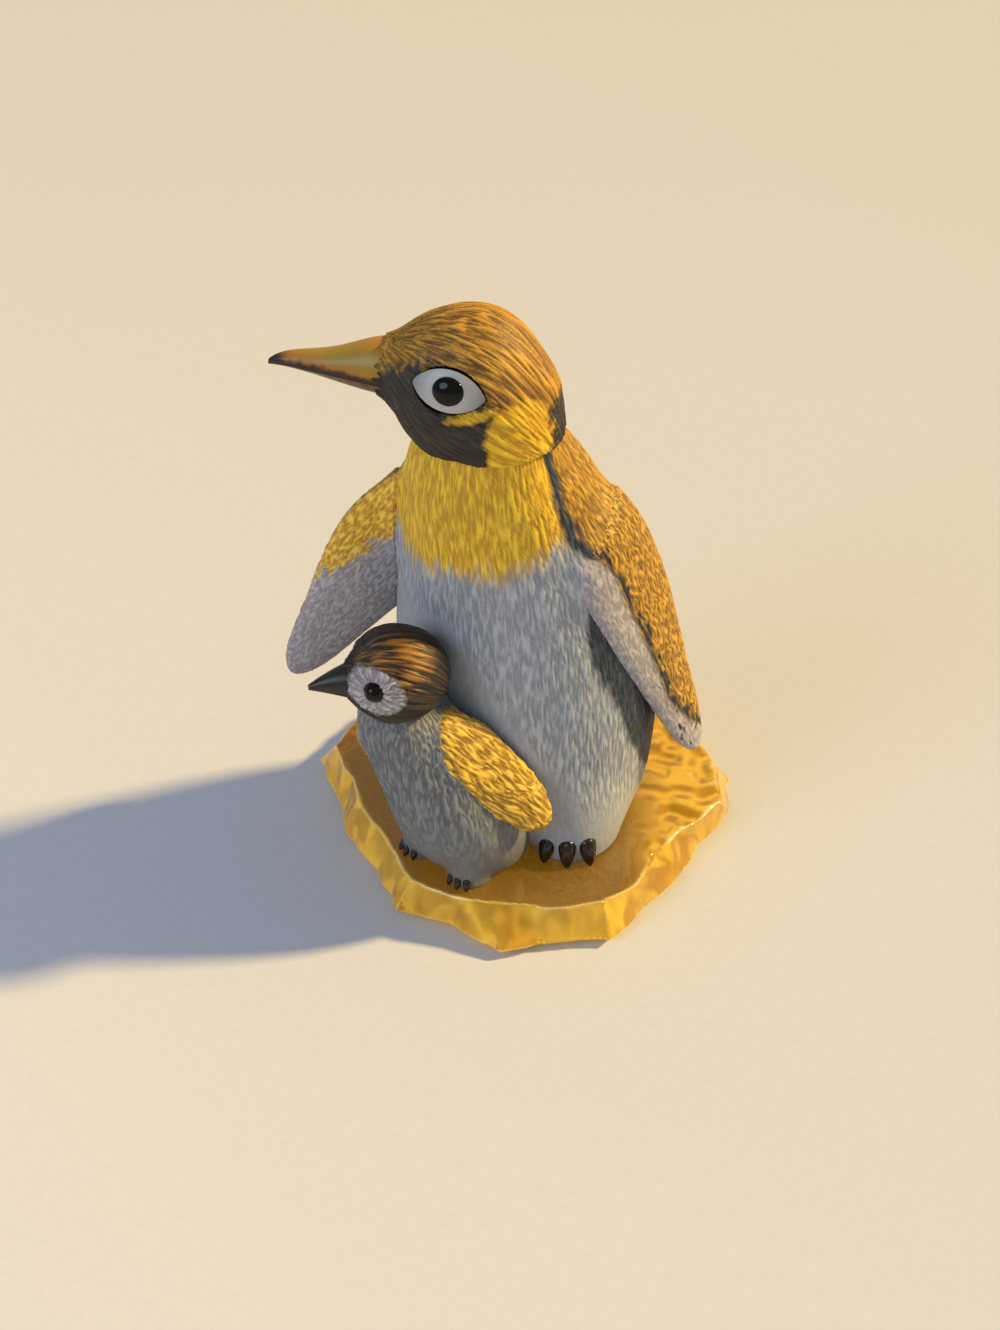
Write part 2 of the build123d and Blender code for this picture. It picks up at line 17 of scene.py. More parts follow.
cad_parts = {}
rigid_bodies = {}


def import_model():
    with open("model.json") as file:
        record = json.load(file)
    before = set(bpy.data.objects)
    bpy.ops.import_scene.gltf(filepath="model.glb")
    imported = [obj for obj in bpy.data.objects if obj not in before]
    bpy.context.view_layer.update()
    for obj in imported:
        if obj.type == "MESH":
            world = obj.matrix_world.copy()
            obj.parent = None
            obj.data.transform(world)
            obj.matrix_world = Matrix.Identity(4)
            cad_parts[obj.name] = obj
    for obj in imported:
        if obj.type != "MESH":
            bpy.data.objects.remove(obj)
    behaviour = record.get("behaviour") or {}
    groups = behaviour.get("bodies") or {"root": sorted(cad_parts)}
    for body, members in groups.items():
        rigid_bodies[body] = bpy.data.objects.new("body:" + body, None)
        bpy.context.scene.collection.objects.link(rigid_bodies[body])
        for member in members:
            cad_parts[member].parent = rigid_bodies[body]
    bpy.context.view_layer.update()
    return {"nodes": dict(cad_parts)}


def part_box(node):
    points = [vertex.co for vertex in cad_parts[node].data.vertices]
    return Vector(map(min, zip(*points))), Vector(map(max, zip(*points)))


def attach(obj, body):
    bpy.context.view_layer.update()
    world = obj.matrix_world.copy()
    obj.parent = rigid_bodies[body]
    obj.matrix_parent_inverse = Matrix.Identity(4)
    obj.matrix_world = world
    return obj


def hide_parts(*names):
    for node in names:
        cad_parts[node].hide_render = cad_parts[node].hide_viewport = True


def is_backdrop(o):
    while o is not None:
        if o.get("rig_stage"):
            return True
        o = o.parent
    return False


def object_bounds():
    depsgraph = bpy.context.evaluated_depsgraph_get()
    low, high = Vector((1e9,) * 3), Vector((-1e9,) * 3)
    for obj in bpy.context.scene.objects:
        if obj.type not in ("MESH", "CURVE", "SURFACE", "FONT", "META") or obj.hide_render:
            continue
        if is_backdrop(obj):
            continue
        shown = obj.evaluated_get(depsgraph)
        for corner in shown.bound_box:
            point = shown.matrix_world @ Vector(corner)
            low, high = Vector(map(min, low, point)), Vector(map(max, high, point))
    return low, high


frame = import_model()
MM = 0.001
bpy.ops.object.select_all(action="DESELECT")

# %% [markdown]
# ## Camera
# The photo looks down on the figurine from its left front, from close by, so near things are clearly larger.
# The camera's place and lens were fitted to the slab's rim and the two heads.

# %% Camera
CAMERA_PLACE = (50.5, -148.7, 145.4)
CAMERA_TILT, CAMERA_TURN = 52.1, 20.0
bpy.ops.object.camera_add(location=[v * MM for v in CAMERA_PLACE],
                          rotation=(math.radians(CAMERA_TILT), 0, math.radians(CAMERA_TURN)))
camera = bpy.context.object
camera.data.lens = 41.95
camera.data.sensor_width = 36
camera.data.clip_start = 10 * MM
bpy.context.scene.camera = camera
print("camera distance in mm:", round(camera.location.length / MM))

# %% [markdown]
# ## Helpers for paint
# Colours are read as sRGB hex codes, as a paint chart gives them, and turned linear once. One function adds a
# shader node, sets its fields and links what feeds it.

# %% Colours and shader nodes
def paint(code):
    """A hex colour as linear red, green, blue and alpha."""
    parts = [int(code[i:i + 2], 16) / 255 for i in (1, 3, 5)]
    return [p / 12.92 if p <= 0.04045 else ((p + 0.055) / 1.055) ** 2.4 for p in parts] + [1.0]


def node(tree, kind, inputs=None, **fields):
    """Adds a node, sets its fields, and sets or links each input."""
    made = tree.nodes.new(kind)
    for name, value in fields.items():
        setattr(made, name, value)
    for name, value in (inputs or {}).items():
        if isinstance(value, bpy.types.NodeSocket):
            tree.links.new(value, made.inputs[name])
        else:
            made.inputs[name].default_value = value
    return made


def blank(name):
    """A new node material: the material, its tree and its shader."""
    material = bpy.data.materials.new(name)
    material.use_nodes = True
    return material, material.node_tree, material.node_tree.nodes["Principled BSDF"]


def dress(piece, material):
    """Gives a piece its material."""
    piece.data.materials.clear()
    piece.data.materials.append(material)


print("linear mid grey:", round(paint("#808080")[0], 3))

# %% [markdown]
# ## Floor
# The floor is only there to catch shadows and isn't part of the object. A sheet with edges could be modelled,
# but one large plane does the same, and its edge is never in view.

# %% Floor of matt paper
# Uncoated paper, pressed from pulp: it scatters light evenly, with no shine and a barely seen fleck.
# Real flecks are about 0.3 mm wide. They are drawn at 1.1 mm, because finer ones don't show from here.
FLECKS_PER_METRE = 900.0
bpy.ops.mesh.primitive_plane_add(size=4, location=(0, 0, 0))
floor = bpy.context.object
floor.name = "floor"
paper, tree, shader = blank("matt_paper_floor")
coords = node(tree, "ShaderNodeTexCoord").outputs["Object"]
fleck = node(tree, "ShaderNodeTexNoise", {"Vector": coords, "Scale": FLECKS_PER_METRE, "Detail": 4.0})
tone = node(tree, "ShaderNodeMix", {0: fleck.outputs["Fac"], 6: paint("#c6ccd6"), 7: paint("#cfd5de")},
            data_type="RGBA")
tree.links.new(tone.outputs[2], shader.inputs["Base Color"])
shader.inputs["Roughness"].default_value = 0.85
dress(floor, paper)
floor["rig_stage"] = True
print("floor:", floor.dimensions.x, "m wide")

# %% [markdown]
# ## Lamps
# A warm soft lamp stands to the right and behind, so gold light rakes over the strokes of the back and the
# flippers. It is a sun lamp, because its light is equally strong from the slab to the crown. A large pale
# panel in front on the left fills the shaded side.

# %% Lamps and sky
def lamp(kind, name, place, target, power, colour):
    """A lamp at a place in mm that faces a target."""
    bpy.ops.object.light_add(type=kind, location=[v * MM for v in place])
    made = bpy.context.object
    made.name = name
    made.rotation_euler = (Vector(target) - Vector(place)).to_track_quat("-Z", "Y").to_euler()
    made.data.energy = power
    made.data.color = paint(colour)[:3]
    return made


key = lamp("SUN", "warm_lamp", place=(202, 120, 201), target=(0, -6, 28), power=5.0, colour="#ffd98c")
key.data.angle = math.radians(5)
fill = lamp("AREA", "pale_panel", place=(-190, -300, 260), target=(0, -5, 30), power=0.45, colour="#e6edff")
fill.data.shape = "DISK"
fill.data.size = 220 * MM
world = bpy.data.worlds.new("studio")
world.use_nodes = True
sky = world.node_tree.nodes["Background"]
sky.inputs["Color"].default_value = paint("#cfd2da")
sky.inputs["Strength"].default_value = 0.5
bpy.context.scene.world = world
bpy.context.scene.view_settings.view_transform = "Standard"
print("lamps:", key.name, fill.name)

# %% [markdown]
# ## Points of a skin
# Feathers on a moulded skin are relief: small heights along the way that each point faces. Blender hands all
# points of a mesh over as one flat list, and numpy changes the whole list at once, which a loop over single
# points would do far more slowly. A mask is one number per point, saved on the mesh for the paint to read.

# %% Read, move and mark points
def points(piece):
    """The piece's points in mm."""
    flat = np.zeros(len(piece.data.vertices) * 3, np.float32)
    piece.data.vertices.foreach_get("co", flat)
    return flat.reshape(-1, 3).astype(float) / MM


def outward(piece):
    """The outward direction at each point."""
    flat = np.zeros(len(piece.data.vertices) * 3, np.float32)
    piece.data.vertex_normals.foreach_get("vector", flat)
    return flat.reshape(-1, 3).astype(float)


def shape(piece, place):
    """Puts the piece's points at places in mm."""
    piece.data.vertices.foreach_set("co", (place * MM).astype(np.float32).ravel())
    piece.data.update()


def press(piece, height):
    """Moves each point outward by a height in mm."""
    shape(piece, points(piece) + outward(piece) * height[:, None])


def keep(piece, **masks):
    """Stores a value per point that the paint can read."""
    for name, values in masks.items():
        store = piece.data.attributes.new(name, "FLOAT", "POINT")
        store.data.foreach_set("value", np.clip(values, 0, 1).astype(np.float32))


def within(gap, edge):
    """1 where a signed gap in mm is well below 0, 0 where it is well above, with a soft edge."""
    return np.clip(0.5 - gap / edge, 0, 1)


print("points of the slab's solid:", len(points(frame["nodes"]["ice_floe"])))

# %% [markdown]
# ## Copies of the solids
# The heads, the flippers and the slab start as merged copies of their solids, and the solids stay as they
# are. A solid has long thin faces, which can't hold strokes. Subdividing would keep them uneven, so the copy
# is remeshed into small even ones, and a Smooth modifier takes away the steps that this leaves.

# %% Copies with even faces
MERGE_GAP = 0.002


def relax(piece, rounds):
    """Evens out small steps with a Smooth modifier."""
    bpy.context.view_layer.objects.active = piece
    soften = piece.modifiers.new("even", "SMOOTH")
    soften.factor = 0.5
    soften.iterations = rounds
    bpy.ops.object.modifier_apply(modifier="even")


def mould(cad_node, name, grain=None, even=6):
    """A merged copy of a solid as its own piece, remeshed to faces of one grain in mm and evened out."""
    bpy.ops.object.select_all(action="DESELECT")
    frame["nodes"][cad_node].select_set(True)
    bpy.context.view_layer.objects.active = frame["nodes"][cad_node]
    bpy.ops.object.duplicate()
    bpy.ops.object.parent_clear(type="CLEAR_KEEP_TRANSFORM")
    piece = bpy.context.object
    for key_name in [k for k in piece.keys() if k.startswith("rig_")]:
        del piece[key_name]
    piece.name = name
    bpy.ops.object.mode_set(mode="EDIT")
    bpy.ops.mesh.select_all(action="SELECT")
    bpy.ops.mesh.remove_doubles(threshold=MERGE_GAP * MM)
    bpy.ops.object.mode_set(mode="OBJECT")
    if grain:
        piece.data.remesh_voxel_size = grain * MM
        bpy.ops.object.voxel_remesh()
        relax(piece, even)
    bpy.ops.object.shade_smooth()
    return piece


print("points closer than", MERGE_GAP, "mm are merged")

# %% [markdown]
# ## Smooth noise
# Nothing on a hand-painted piece is quite even, so strokes, borders and chips all wander. A Displace modifier
# could press Blender's own noise into a skin, but it stretches its pattern along one straight line only. This
# noise is worked out per point, so it can follow feathers that turn with the body. Its seed is fixed, so each
# run gives the same figurine.

# %% Noise per point
dice = np.random.default_rng(11)
LATTICE = dice.permutation(256)
SLOPES = dice.normal(size=(256, 3))
SLOPES /= np.linalg.norm(SLOPES, axis=1)[:, None]
NOISE_GAIN = 1.6


def ripple(spots):
    """Smooth noise from about -1 to 1, one bump per unit."""
    cell = np.floor(spots).astype(int)
    part = spots - cell
    ease = part ** 3 * (part * (part * 6 - 15) + 10)
    total = np.zeros(len(spots))
    for corner in np.ndindex(2, 2, 2):
        at = (cell + corner) & 255
        pick = LATTICE[(LATTICE[(LATTICE[at[:, 0]] + at[:, 1]) & 255] + at[:, 2]) & 255]
        lean = np.einsum("ij,ij->i", SLOPES[pick], part - corner)
        total += lean * np.prod(np.where(corner, ease, 1 - ease), axis=1)
    return total * NOISE_GAIN


print("noise spread:", np.round(np.std(ripple(dice.uniform(0, 40, (2000, 3)))), 2))

# %% [markdown]
# ## Feather strokes
# The mould of the real figurine was cut with short strokes that lie as feathers do. Each could be modelled as
# a ridge of its own, but there are thousands. So noise is stretched along the lie of the feathers, which
# gives raised dashes, with finer ones between them. The dashes are 0.33 to 0.4 mm wide, as fine as the skins
# can hold. The finest real ones are finer still.

# %% Raised dashes
SWAY_WIDTHS, SWAY_LENGTHS = 6, 1.6
FINER = [1.8, 1.8, 1.4]
# These two only pick other places of the noise, so that the layers don't match each other.
SWAY_SHIFT, FINE_SHIFT = 5.3, 17.1
# Strokes above this height stand out of the skin, and what lies lower is a groove.
STROKE_MIDDLE = 0.4


def strokes(lie, width, length, sway=0.8):
    """Height from 0 to 1 of raised dashes. The last column of lie runs along the feathers, in mm."""
    spots = lie / [width, width, length]
    slow = lie / [width * SWAY_WIDTHS, width * SWAY_WIDTHS, length * SWAY_LENGTHS]
    drift = ripple(slow + SWAY_SHIFT) * sway
    spots[:, 0] += drift
    spots[:, 1] -= drift
    dash = np.clip(0.25 + 1.7 * ripple(spots), 0, 1)
    fine = np.clip(0.1 + 1.5 * ripple(spots * FINER + FINE_SHIFT), 0, 1)
    return np.maximum(dash, 0.75 * fine)


patch = np.argwhere(np.ones((60, 60, 1))) * 0.1
raised = strokes(patch, width=0.36, length=1.8) > STROKE_MIDDLE
print("raised share of a 6 mm patch:", np.round(raised.mean(), 2))

# %% [markdown]
# ## Filled corners
# On the real figurine neck, flippers and bodies flow into each other, because the corners between them were
# filled before painting. A Boolean with a bevel could do that on plain shapes, but not on fine skins. Here a
# skin simply swells where another piece comes near.

# %% Swelling near a neighbour
def melt(piece, other, reach, where=1.0):
    """Swells a skin where it comes near another piece, as filler does in a corner."""
    tree = BVHTree.FromObject(other, bpy.context.evaluated_depsgraph_get())
    swell = np.zeros(len(piece.data.vertices))
    for i, vertex in enumerate(piece.data.vertices):
        gap = tree.find_nearest(vertex.co, reach * MM)[3]
        if gap is not None:
            swell[i] = (reach - gap / MM) ** 2 / (4 * reach)
    press(piece, swell * where)
    print(piece.name, "swells by up to", np.round((swell * where).max(), 2), "mm beside", other.name)


# %% [markdown]
# ## Paint for moulded plumage
# The figurine is painted in layers. A dark wash stays in the grooves, and a lighter coat is brushed over the
# raised strokes. So each coat has two colours, and the stroke height saved on the piece mixes them. Each coat
# covers the part of the skin that its own mask names. An image could hold all this, but then the paint
# wouldn't follow the relief.

# %% Dry-brushed acrylic paint
# Acrylic hobby paint, dry-brushed over moulded PVC: satin, so lights are broad and soft, with light ridges
# over dark grooves. Real bristle marks are near 0.1 mm wide. They are drawn at 0.25 mm so that they show.
BRISTLE, BRISTLE_DEPTH = 0.25, 0.06


def plumage(name, ground, coats, roughness=0.5):
    """Painted plumage: ground and coats are pairs of groove and ridge colours, coats with a mask's name."""
    material, tree, shader = blank(name)
    coords = node(tree, "ShaderNodeTexCoord").outputs["Object"]
    stroke = node(tree, "ShaderNodeAttribute", attribute_name="stroke").outputs["Fac"]
    bristle = node(tree, "ShaderNodeTexNoise",
                   {"Vector": coords, "Scale": 1 / (BRISTLE * MM), "Detail": 3.0}).outputs["Fac"]
    brushed = node(tree, "ShaderNodeMath", {0: bristle, 1: 0.5, 2: -0.25}, operation="MULTIPLY_ADD").outputs[0]
    worn = node(tree, "ShaderNodeMath", {0: stroke, 1: brushed}, operation="ADD", use_clamp=True).outputs[0]
    shades = node(tree, "ShaderNodeMix", {0: worn, 6: paint(ground[0]), 7: paint(ground[1])},
                  data_type="RGBA").outputs[2]
    for mask, groove, ridge in coats:
        cover = node(tree, "ShaderNodeAttribute", attribute_name=mask).outputs["Fac"]
        coat = node(tree, "ShaderNodeMix", {0: worn, 6: paint(groove), 7: paint(ridge)},
                    data_type="RGBA").outputs[2]
        shades = node(tree, "ShaderNodeMix", {0: cover, 6: shades, 7: coat}, data_type="RGBA").outputs[2]
    tree.links.new(shades, shader.inputs["Base Color"])
    bump = node(tree, "ShaderNodeBump", {"Height": bristle, "Strength": 0.25, "Distance": BRISTLE_DEPTH * MM})
    tree.links.new(bump.outputs["Normal"], shader.inputs["Normal"])
    shader.inputs["Roughness"].default_value = roughness
    print("paint:", name, "with coats:", len(coats))
    return material


# %% [markdown]
# ## Placing a finished skin
# The figurine is rigid, so every skin rides on the same body. The solid that it was made from is hidden.

# %% Settle a skin on the figurine
def settle(piece, slot, *nodes):
    """The finished piece rides on the figurine, and its solids are hidden."""
    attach(piece, "root")
    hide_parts(*nodes)
    print(piece.name, "triangles:", sum(len(f.vertices) - 2 for f in piece.data.polygons))


# %% [markdown]
# ## Paint of the feet
# The feet have no strokes. Their lobes wear the same pale grey as the hem above them, and their claws are
# glossy black. The claws could share the lobe's paint with a mask, but gloss and satin need two materials.

# %% Foot and claw paint
PALE_GREY = ("#858d98", "#b4bcc8")
lobe_paint = plumage("brushed_acrylic_foot_lobe", PALE_GREY, [])

# Gloss black lacquer, brushed over moulded PVC: nearly black, with small sharp lights and a few brown smears,
# each about 0.8 mm wide, where the coat is thin.
CLAW_SMEAR = 0.8
claw_paint, tree, shader = blank("gloss_black_lacquer_claw")
coords = node(tree, "ShaderNodeTexCoord").outputs["Object"]
smear = node(tree, "ShaderNodeTexNoise", {"Vector": coords, "Scale": 1 / (CLAW_SMEAR * MM), "Detail": 3.0})
tone = node(tree, "ShaderNodeMix", {0: smear.outputs["Fac"], 6: paint("#0b0908"), 7: paint("#241c16")},
            data_type="RGBA")
tree.links.new(tone.outputs[2], shader.inputs["Base Color"])
shader.inputs["Roughness"].default_value = 0.22
print("foot paints:", lobe_paint.name, claw_paint.name)

# %% [markdown]
# ## Foot lobes
# Each foot is a smooth lobe that grows out of the hem. A ball is stretched to a tall egg and cut flat at the
# slab. Its shape is remembered, because the body's skin is later drawn over the same lobe.

# %% A foot's lobe
SLAB_TOP = 6.0
LOBE_HALVES = (6.6, 7.8, 13.5)
LOBE_INSET, LOBE_TONE = 0.12, 0.34
lobes = {}


def foot_lobe(name, body_node, centre, facing, share):
    """A tall egg, cut flat where it meets the slab and set a little under the body's skin."""
    bpy.ops.object.select_all(action="DESELECT")
    bpy.ops.mesh.primitive_uv_sphere_add(segments=96, ring_count=48, radius=MM, location=(0, 0, 0))
    foot = bpy.context.object
    foot.name = name
    foot.scale = [half * share for half in LOBE_HALVES]
    foot.rotation_euler = (0, 0, math.radians(facing))
    foot.location = [v * MM for v in centre]
    bpy.ops.object.transform_apply(location=True, rotation=True, scale=True)
    bpy.ops.object.mode_set(mode="EDIT")
    bpy.ops.mesh.select_all(action="SELECT")
    bpy.ops.mesh.bisect(plane_co=(0, 0, SLAB_TOP * MM), plane_no=(0, 0, 1), use_fill=True, clear_inner=True)
    bpy.ops.object.mode_set(mode="OBJECT")
    lobes.setdefault(body_node, []).append(BVHTree.FromObject(foot, bpy.context.evaluated_depsgraph_get()))
    press(foot, np.full(len(foot.data.vertices), -LOBE_INSET))
    keep(foot, stroke=np.full(len(foot.data.vertices), LOBE_TONE))
    dress(foot, lobe_paint)
    print(name, "is", np.round(points(foot)[:, 2].max() - SLAB_TOP, 1), "mm high")
    return foot


# %% [markdown]
# ## Claws
# Three fat blunt claws sit on the front rim of each foot and point down at the slab. A claw could be turned
# as a profile, but a short cone that is rounded by subdivision gives the same drop shape in two steps.

# %% Three claws
CLAW_TURNS = (-23, 0, 23)
RIM_ASIDE, RIM_AHEAD, RIM_HEIGHT = 6.6, 7.7, 1.8
CLAW_ROOT, CLAW_TIP, CLAW_LENGTH = 1.8, 0.5, 4.5
CLAW_FORWARD, CLAW_DOWN = 0.5, 0.87


def foot_claws(centre, facing, share):
    """Blunt cones on the lobe's front rim, rounded to fat drops."""
    claws = []
    for turn in CLAW_TURNS:
        swing, lean = math.radians(facing + turn), math.radians(turn)
        out = Vector((math.sin(swing), -math.cos(swing), 0))
        rim = Vector((RIM_ASIDE * math.sin(lean), -RIM_AHEAD * math.cos(lean), RIM_HEIGHT)) * share
        rim.rotate(Euler((0, 0, math.radians(facing))))
        drop = (out * CLAW_FORWARD - Vector((0, 0, CLAW_DOWN))).normalized()
        bpy.ops.mesh.primitive_cone_add(vertices=16, radius1=CLAW_ROOT * share * MM,
                                        radius2=CLAW_TIP * share * MM, depth=CLAW_LENGTH * share * MM,
                                        location=(Vector(centre) + rim) * MM,
                                        rotation=drop.to_track_quat("Z", "Y").to_euler())
        claw = bpy.context.object
        bpy.ops.object.transform_apply(location=True, rotation=True, scale=True)
        soften = claw.modifiers.new("round", "SUBSURF")
        soften.levels = soften.render_levels = 3
        bpy.ops.object.modifier_apply(modifier="round")
        dress(claw, claw_paint)
        claws.append(claw)
    print("claws:", len(claws), "each", CLAW_LENGTH * share, "mm long")
    return claws


# %% [markdown]
# ## The four feet
# Lobe and claws of a foot are moulded in one on the real object, so they are joined to one piece here. The
# chick's feet are the adult's at less than half the size.

# %% Four feet
CHICK_SHARE = 0.44
FEET = (("adult_left_foot", "adult_body", "adult_foot", (9.0, -8.2, SLAB_TOP), 15, 1.0),
        ("adult_right_foot", "adult_body", "adult_foot", (-8.8, -5.8, SLAB_TOP), -36, 1.0),
        ("chick_left_foot", "chick_body", "chick_foot", (0.2, -21.0, SLAB_TOP), -9, CHICK_SHARE),
        ("chick_right_foot", "chick_body", "chick_foot", (-6.8, -18.2, SLAB_TOP), -29, CHICK_SHARE))
for cad_node, body_node, slot, centre, facing, share in FEET:
    foot = foot_lobe(cad_node + "_skin", body_node, centre, facing, share)
    claws = foot_claws(centre, facing, share)
    bpy.ops.object.select_all(action="DESELECT")
    for piece in [*claws, foot]:
        piece.select_set(True)
    bpy.context.view_layer.objects.active = foot
    bpy.ops.object.join()
    bpy.ops.object.shade_smooth()
    settle(foot, slot, cad_node)

# %% [markdown]
# ## Skins for upright bodies
# The trunks carry upright strokes. A remeshed copy that is fine enough for them would be too heavy. So a
# cylinder gets narrow tall faces that follow the strokes, and its points are drawn in towards an upright axis
# later.

# %% A tube with narrow tall faces
TUBE_RADIUS = 50.0


def tall_tube(name, columns, cuts, low, high):
    """A tube whose upright edges are cut again and again, so that its side has many level rings."""
    bpy.ops.object.select_all(action="DESELECT")
    bpy.ops.mesh.primitive_cylinder_add(vertices=columns, radius=TUBE_RADIUS * MM, depth=(high - low) * MM,
                                        location=(0, 0, (high + low) / 2 * MM), end_fill_type="NGON")
    tube = bpy.context.object
    tube.name = name
    bpy.ops.object.transform_apply(location=True, rotation=True, scale=True)
    for count in cuts:
        bpy.ops.object.mode_set(mode="EDIT")
        bpy.ops.mesh.select_mode(type="EDGE")
        bpy.ops.mesh.select_all(action="DESELECT")
        bpy.ops.object.mode_set(mode="OBJECT")
        place = points(tube)
        for edge in tube.data.edges:
            start, end = edge.vertices
            edge.select = abs(place[start, 2] - place[end, 2]) > 1e-3
        bpy.ops.object.mode_set(mode="EDIT")
        bpy.ops.mesh.subdivide(number_cuts=count)
        bpy.ops.object.mode_set(mode="OBJECT")
    print(name, "points:", len(tube.data.vertices))
    return tube


# %% [markdown]
# ## Drawing a tube onto a body
# A Shrinkwrap modifier could lay the tube on the solid, but it knows nothing of the feet. So each point
# shoots a ray at the solid and at both foot lobes and takes the larger reach, with a soft fillet where the
# two are close.

# %% Drawing the tube in
RAY_START, BARE_REACH = 60, 0.2


def over(reach, far, fillet):
    """The larger of two reaches in mm, with a soft fillet where they are about equal."""
    share = min(max(0.5 + (far - reach) / (2 * fillet), 0), 1)
    return reach * (1 - share) + far * share + fillet * share * (1 - share)


def wrap(cad_node, columns, cuts, low, high, axis, fillet):
    """A tube whose points are drawn in towards an upright axis until they touch the solid or a lobe."""
    core = mould(cad_node, "core")
    solids = (BVHTree.FromObject(core, bpy.context.evaluated_depsgraph_get()), *lobes[cad_node])
    skin = tall_tube(cad_node + "_skin", columns, cuts, low, high)
    place = points(skin)
    heights, across, ahead = axis
    for i, (x, y, z) in enumerate(place):
        centre = Vector((np.interp(z, heights, across), np.interp(z, heights, ahead), z))
        way = Vector((x, y, 0)).normalized()
        hits = [solid.ray_cast((centre + way * RAY_START) * MM, -way)[0] for solid in solids]
        reach, *lobe_reaches = [BARE_REACH if hit is None else (hit / MM - centre).length for hit in hits]
        for far in lobe_reaches:
            reach = over(reach, far, fillet)
        place[i] = centre + way * reach
    shape(skin, place)
    bpy.data.objects.remove(core)
    bpy.ops.object.shade_smooth()
    relax(skin, 4)
    print(skin.name, "is", np.round(np.ptp(points(skin), axis=0), 1), "mm")
    return skin


# %% [markdown]
# ## The adult's body: skin
# The trunk is a pear that leans forward a little towards the neck, so the axis of its skin leans with it. Its
# corners with the flippers are filled at the shoulders only, and the one with the head only under the ear
# patches. In front of those the cheek hangs free.

# %% Adult body: skin and filled corners
AXIS_HEIGHTS = [6, 27, 38, 47, 54, 60, 64]
AXIS_ACROSS = [0.8, 0.6, 0.0, -0.8, -1.6, -2.2, -2.4]
AXIS_AHEAD = [-2.0, -2.2, -3.0, -4.0, -5.2, -7.0, -8.0]
SHOULDER_LOW, SHOULDER_REACH, NECK_REACH = 42, 2.8, 4.4
HEAD = np.array([-3.3, -9.4, 67.3])
BILL = np.array([-0.976, -0.207, 0.070])


def below_ear(place):
    """1 under the ear patches, where neck and head flow into each other."""
    return within((place - HEAD) @ BILL + 1.5, 3.0)


body = wrap("adult_body", columns=900, cuts=(9, 9), low=6.05, high=63.9,
            axis=(AXIS_HEIGHTS, AXIS_ACROSS, AXIS_AHEAD), fillet=3.0)
for flipper in ("adult_left_flipper", "adult_right_flipper"):
    melt(body, frame["nodes"][flipper], SHOULDER_REACH, within(SHOULDER_LOW - points(body)[:, 2], 6.0))
melt(body, frame["nodes"]["adult_head"], NECK_REACH, below_ear(points(body)))

# %% [markdown]
# ## The adult's body: where each paint goes
# The belly is pale grey, the upper breast yellow, and flanks and back are slate. Over the back the slate
# carries gold, which is painted light: the warm lamp's light on the ridges. The borders are given by height and
# by the angle round the body, with 0 in front and the bird's left side above 0. They could be drawn by hand
# in texture paint, but named heights and angles are easier to change. Noise makes each border ragged. Near the
# feet and beside the chick the skin is smooth.

# %% Adult body: masks
place = points(body)
x, y, z = place.T
facing = np.degrees(np.arctan2(x - np.interp(z, AXIS_HEIGHTS, AXIS_ACROSS),
                               np.interp(z, AXIS_HEIGHTS, AXIS_AHEAD) - y))
ragged = ripple(place / [1.0, 1.0, 3.0]) + 0.6 * ripple(place / [0.45, 0.45, 1.6] + 9)
hem = np.interp(facing, [-90, 20, 50, 90], [11, 15.5, 13, 11])
# A slanting line down the chick's back. Below it, in front, the adult is smooth.
LINE_X, LINE_Z, LINE_DROP, LINE_RUN, LINE_LENGTH = -1.3, 35.6, 15, 9.7, 17.9
FAR_AWAY = 9.0
beside_chick = ((x - LINE_X) * LINE_DROP + (z - LINE_Z) * LINE_RUN) / LINE_LENGTH
beside_chick = np.where((y < -6) & (x < 12) & (z < 40), beside_chick, FAR_AWAY)
smooth = np.maximum(within(z - hem + 0.8 * ragged, 3.0), within(beside_chick + 0.3 * ragged, 1.2))
flank = np.interp(z, [10, 14, 21.5, 34, 39, 43, 47, 51, 54.9, 59.3, 64],
                  [104, 86, 70, 54, 52, 58, 66, 55, 55, 62, 66])
flank = np.where(facing < 0, flank + 24, flank)
MM_PER_DEGREE = 0.24
slate = within((flank - np.abs(facing)) * MM_PER_DEGREE + 0.45 * ragged, 0.8)
back = flank + np.interp(z, [42, 50], [26, 8])
# Painted light: gold over the back, where the warm lamp falls.
gilt = within((back - np.abs(facing)) * MM_PER_DEGREE + 1.2 * ragged, 1.2)
yellow_low = np.interp(facing, [-90, -48, -15, 14, 36, 60], [52, 45.6, 46.6, 47.2, 49.0, 52])
yellow = within(yellow_low - z + 1.5 * ragged, 3.0)
print("share of slate:", np.round(slate.mean(), 2), "of yellow:", np.round(yellow.mean(), 2))

# %% [markdown]
# ## The adult's body: strokes and paint
# The slate feathers are short and rough, those of the breast longer and finer. The height of the strokes is
# saved before the paint is made, because the paint is brushed by it.

# %% Adult body: strokes and paint
SLATE = ("#10161f", "#3a495e")
# Painted light: gold for the raised strokes of the back and the flippers, where the warm lamp falls.
PAINTED_LIGHT_GOLD = ("#6e5117", "#d0a22e")
SLATE_RELIEF, BREAST_RELIEF, SMOOTH_TONE = 0.15, 0.12, 0.36
stroke = np.where(slate > 0.5, strokes(place, width=0.36, length=1.4, sway=1.2),
                  strokes(place, width=0.34, length=2.0))
relief = np.where(slate > 0.5, SLATE_RELIEF, BREAST_RELIEF)
press(body, (stroke - STROKE_MIDDLE) * relief * (1 - smooth))
stroke = stroke * (1 - 0.7 * smooth) + SMOOTH_TONE * smooth
keep(body, stroke=stroke, slate=slate, yellow=yellow, gilt=slate * gilt)
dress(body, plumage("brushed_acrylic_breast_and_back_with_painted_light", PALE_GREY, [
    ("yellow", "#bd9012", "#f8cf30"), ("slate", *SLATE), ("gilt", *PAINTED_LIGHT_GOLD)]))
settle(body, "adult_plumage", "adult_body")
